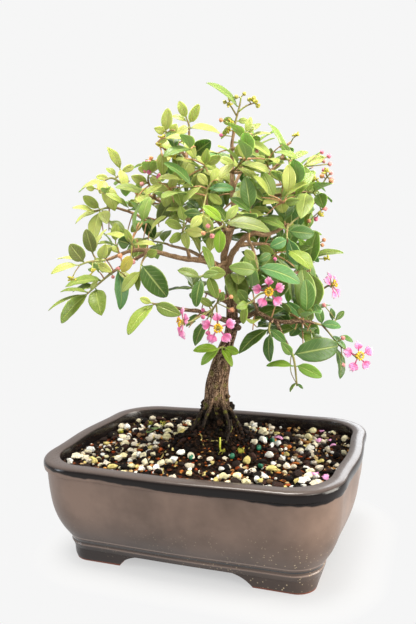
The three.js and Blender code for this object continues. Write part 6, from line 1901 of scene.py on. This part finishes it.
def make_small_buds():
    """Flower buds and spent flowers in loose clusters on thin stalks."""
    mould = Mould()
    draw = seeded(61)
    for kind, places in SMALL_BUDS:
        for x, y in places:
            aim = seen(x, y, 0)
            line = min(OPEN_LINES, key=lambda points: view_distance(points, aim))
            root = min(line, key=lambda point: view_distance([point], aim))
            place = seen(x, y, root @ AWAY - lerp(3, 9, draw()))
            if kind == "pink":
                add_bud(mould, place, root, draw)
            else:
                add_spent_flower(mould, place, root, draw)
    add_rod(mould, smooth_line(seen_line(TENDRIL), 4), (0.34, 0.26), 6, 1)
    mould.piece("buds_and_spent_flowers", spray_finishes)


# Flowers
PETAL_OUTLINE = (
    (0.06, 0.5), (0.2, 0.42), (0.36, 0.42), (0.5, 0.6), (0.58, 1.4), (0.67, 2.6), (0.8, 3.5), (0.91, 3.3),
    (1.0, 2.4),
)
PETAL_LIFT = ((0.0, 0.0), (0.5, 1.2), (0.82, 2.0), (1.0, 0.7))
PETAL_ACROSS = 11


def make_petal_finish():
    """Thin crinkled petals: rose pink, paler along the fringe and yellowish in the throat."""
    material, tree, shader = new_finish("petal_pink", Roughness=0.6, Subsurface_Weight=0.3,
                                        Subsurface_Scale=0.002, Subsurface_Radius=(1.0, 0.4, 0.5))
    out, over, _ = parts_of(point_value(tree, "petal_place"))
    vein = reckon("ABSOLUTE", reckon("SINE", times(over, 13.0)))
    colour = stepped(out, [
        (0.1, (240, 206, 130)), (0.34, (240, 126, 176)), (0.62, (255, 124, 178)),
        (0.88, (255, 160, 204)), (1.0, (255, 208, 230))])
    colour = mingle(stretch(vein, 0.0, 0.5, 0.2, 0.0), colour, (230, 70, 136))
    mottle = mottled(own_place(tree), (255, 255, 255), (222, 208, 216), 320.0, 1800.0)
    feed(shader, Base_Color=mingle(1.0, colour, mottle["Color"], "MULTIPLY"))
    raise_by(shader, plus(vein, mottle["Grain Mask"]), 0.0002)
    return material


def between(table, share):
    places, values = zip(*table)
    return float(np.interp(share, places, values))


def add_petal(mould, flower, k, draw):
    out = petal_way(flower, k + 0.16 * (draw() - 0.5))
    side = np.cross(out, flower.face)
    size = 0.8 if k == 0 else lerp(0.88, 1.0, draw())
    phase = draw() * 6.28
    lift = lerp(0.3, 1.3, draw())
    top, under, places = [], [], []
    for share, half in PETAL_OUTLINE:
        for j in range(PETAL_ACROSS):
            over = 2 * j / (PETAL_ACROSS - 1) - 1
            fringe = 0.06 * cos(9 * over + phase) * max(0, share - 0.5) * 2
            dome = 1 - 0.16 * over * over * (share > 0.5)
            reach = share * PETAL_RADIUS * size * (dome + fringe)
            crinkle = 0.5 * sin(7 * over + phase) * max(0, share - 0.45) * 1.6
            rise = between(PETAL_LIFT, share) * lift + crinkle + 0.6 * over * over
            point = flower.middle + out * reach + side * over * half * size + flower.face * rise
            top.append(point + flower.face * 0.14)
            under.append(point - flower.face * 0.14)
            places.append((share, over, 0))
    rows, columns = len(PETAL_OUTLINE), PETAL_ACROSS
    faces = []
    base = rows * columns
    for i in range(rows - 1):
        for j in range(columns - 1):
            a = i * columns + j
            faces.append((a, a + 1, a + columns + 1, a + columns))
            faces.append((base + a + columns, base + a + columns + 1, base + a + 1, base + a))
    rim = ([(0, j) for j in range(columns)] + [(i, columns - 1) for i in range(1, rows)]
           + [(rows - 1, j) for j in range(columns - 2, -1, -1)] + [(i, 0) for i in range(rows - 2, 0, -1)])
    loop = [i * columns + j for i, j in rim]
    for a, b in zip(loop, loop[1:] + loop[:1]):
        faces.append((b, a, base + a, base + b))
    mould.add(top + under, faces, 0, petal_place=places + places)


STAMEN_COUNT = 10
HEART_PROFILE = ((-1.1, 0.8), (-0.7, 1.9), (-0.1, 2.1), (0.5, 1.7))
ANTHER_PROFILE = ((-0.8, 0.25), (-0.35, 0.66), (0.35, 0.66), (0.8, 0.25))
CROWN_PROFILE = ((0, 1.5), (0.5, 1.3), (1.0, 0.9), (1.4, 0.3))
FILAMENT_TONE = tone((226, 206, 110))
ANTHER_TONE = tone((255, 204, 40))
CROWN_TONE = tone((206, 196, 84))


def add_stamens(mould, flower, draw):
    """A ring of stamens round a low dome."""
    face, side, top = flower.face, flower.side, flower.top
    base = flower.middle + face * (0.6 + TOUCH_GAP)
    for k in range(STAMEN_COUNT):
        turn = 2 * pi * k / STAMEN_COUNT
        out = side * cos(turn) + top * sin(turn)
        end = base + out * lerp(1.9, 2.5, draw()) + face * lerp(2.0, 2.7, draw())
        add_stalk(mould, base + out * 0.9, end, (0.16, 0.16), 6, stamen_tint=FILAMENT_TONE)
        add_turned(mould, end, out, face, np.cross(out, face), ANTHER_PROFILE, 8, stamen_tint=ANTHER_TONE)
    add_turned(mould, base, face, side, top, CROWN_PROFILE, 12, stamen_tint=CROWN_TONE)


def make_flowers():
    petal_finish = make_petal_finish()
    anther_finish = make_tinted_finish("stamen_yellow", "stamen_tint", 0.75, 900.0, 0.0002, Roughness=0.6)
    for number, flower in enumerate(flowers):
        draw = seeded(900 + number)
        name = flower.name
        mould = Mould()
        for k in range(PETAL_COUNT):
            add_petal(mould, flower, k, draw)
        add_turned(mould, flower.middle, flower.face, flower.side, flower.top, HEART_PROFILE,
                   15, 1, 5, 0.08)
        mould.piece(name.replace("flower", "petals"), [petal_finish, stem_finish], [name])
        crown = Mould()
        add_stamens(crown, flower, draw)
        crown.piece(name.replace("flower", "anthers"), [anther_finish],
                    [name.replace("flower", "stamens")])


FRUIT_TONE = tone((128, 160, 62))


def make_fruit():
    """A green cherry with three low lobes, on its stalk."""
    mould = Mould()
    profile = []
    for k in range(15):
        swing = pi * (k + 0.35) / 14.7
        profile.append((-cos(swing) * 0.94 * FRUIT_RADIUS, FRUIT_RADIUS * sin(swing)))
    add_turned(mould, fruit_middle, UP, ACROSS, AWAY, profile, 30, 0, 3, 0.05, fruit_tint=FRUIT_TONE)
    stalk_top = fruit_twig()[1] - UP * (TOUCH_GAP + 0.7)
    add_stalk(mould, fruit_middle + UP * 3.4, stalk_top, (0.5, 0.62), 8, 1)
    fruit_finish = make_tinted_finish("fruit_skin", "fruit_tint", 0.8, 240.0, 0.0001, Roughness=0.3)
    mould.piece("cherry_green", [fruit_finish, stem_finish], ["fruit"])


# Everything of the plant and the pot
make_pot()
make_drain_meshes()
make_bed()
make_grit()
make_litter()
make_wood()
make_sprays()
make_inner_shoots()
make_small_buds()
make_flowers()
make_fruit()

# Floor, light and camera
FLOOR_REACH = 3.0
PAPER = (246, 246, 246)
FLOOR_GREY = (0.57, 0.57, 0.57, 1.0)
ROOM_LIGHT = 0.62


def make_floor():
    """Pale floor: it takes shadows round the pot and is as bright as the backdrop far from it."""
    rings, count = 14, 64
    middle = np.zeros(3)
    points = []
    for i in range(1, rings + 1):
        reach = FLOOR_REACH * (i / rings) ** 2
        points.extend(ring_across(middle, EAST, NORTH, count, lambda _: reach))
    points.append(middle)
    faces = [face[::-1] for face in loft_faces(count, rings, False)]
    faces.extend((rings * count, k, (k + 1) % count) for k in range(count))
    mesh = bpy.data.meshes.new("floor")
    mesh.from_pydata(points, [], faces)
    floor = place_object("floor", mesh)
    floor.location = (0.0, 0.0, -0.0004)
    material = bpy.data.materials.new("floor_paper")
    material.use_nodes = True
    tree = material.node_tree
    tree.nodes.remove(tree.nodes["Principled BSDF"])
    place = own_place(tree)
    x, y, _ = parts_of(place)
    aside = [most(minus(reckon("ABSOLUTE", way), half), 0.0) for way, half in ((x, 0.06), (y, 0.036))]
    far = reckon("SQRT", plus(*[times(way, way) for way in aside]))
    # Even beside the pot the floor is part glow: painted light that lightens the shadows it takes.
    share = stretch(far, 0.004, 0.06, 0.42, 1.0)
    near = put(tree, "ShaderNodeBsdfDiffuse")
    near.inputs["Color"].default_value = FLOOR_GREY
    glow = put(tree, "ShaderNodeEmission", {"Color": PAPER, "Strength": 1.0})
    mixed = follow("ShaderNodeMixShader", {0: share, 1: near.outputs[0], 2: glow.outputs[0]})
    tree.links.new(mixed[0], tree.nodes["Material Output"].inputs["Surface"])
    mesh.materials.append(material)


def make_backdrop():
    world = bpy.data.worlds.new("paper_backdrop")
    world.use_nodes = True
    background = world.node_tree.nodes["Background"]
    background.inputs["Color"].default_value = linear(*PAPER)
    sight = put(world.node_tree, "ShaderNodeLightPath").outputs["Is Camera Ray"]
    world.node_tree.links.new(stretch(sight, 0.0, 1.0, ROOM_LIGHT, 1.0), background.inputs["Strength"])
    bpy.context.scene.world = world


def look_from(place, target):
    back = unit(np.array(place, float) - np.array(target, float))
    right = unit(np.cross(UP, back))
    return basis(right, np.cross(back, right), back, place)


def basis(right, up, back, place):
    return Matrix([[right[i], up[i], back[i], place[i]] for i in range(3)] + [[0, 0, 0, 1]])


def add_softbox(name, place, target, size, power, colour):
    light = bpy.data.lights.new(name, "AREA")
    light.shape = "RECTANGLE"
    light.size, light.size_y = size
    light.energy = power
    light.color = colour
    made = place_object(name, light)
    made.matrix_world = look_from(place, target)
    made.visible_camera = False


def make_camera():
    lens = bpy.data.cameras.new("camera")
    lens.sensor_width = 36
    lens.lens = VIEW_FOCUS * 36 / FRAME_SIZE[1]
    lens.clip_start, lens.clip_end = 0.01, 20
    camera = place_object("camera", lens)
    camera.matrix_world = basis(FRAME_RIGHT, FRAME_UP, -SIGHT, (EYE + SHIFT) * MILLIMETRE)
    bpy.context.scene.camera = camera


make_floor()
make_backdrop()
add_softbox("softbox_above", (-0.05, -0.1, 1.1), (0, 0, 0.15), (0.5, 0.5), 21, (1.0, 0.97, 0.9))
add_softbox("softbox_left", (-0.9, -0.6, 0.35), (0, 0, 0.1), (0.2, 0.5), 3, (0.8, 0.9, 1.0))
add_softbox("softbox_behind", (0.25, 1.2, 0.55), (0, 0, 0.1), (0.8, 0.5), 6, (0.92, 0.96, 1.0))
add_softbox("softbox_right", (0.9, -0.6, 0.75), (0, 0, 0.2), (0.4, 0.4), 6, (1.0, 0.95, 0.85))
add_softbox("softbox_end", (1.3, 0.12, 0.3), (0, 0, 0.08), (0.8, 0.8), 30, (1.0, 0.95, 0.86))
make_camera()
bpy.context.scene.view_settings.view_transform = "Standard"
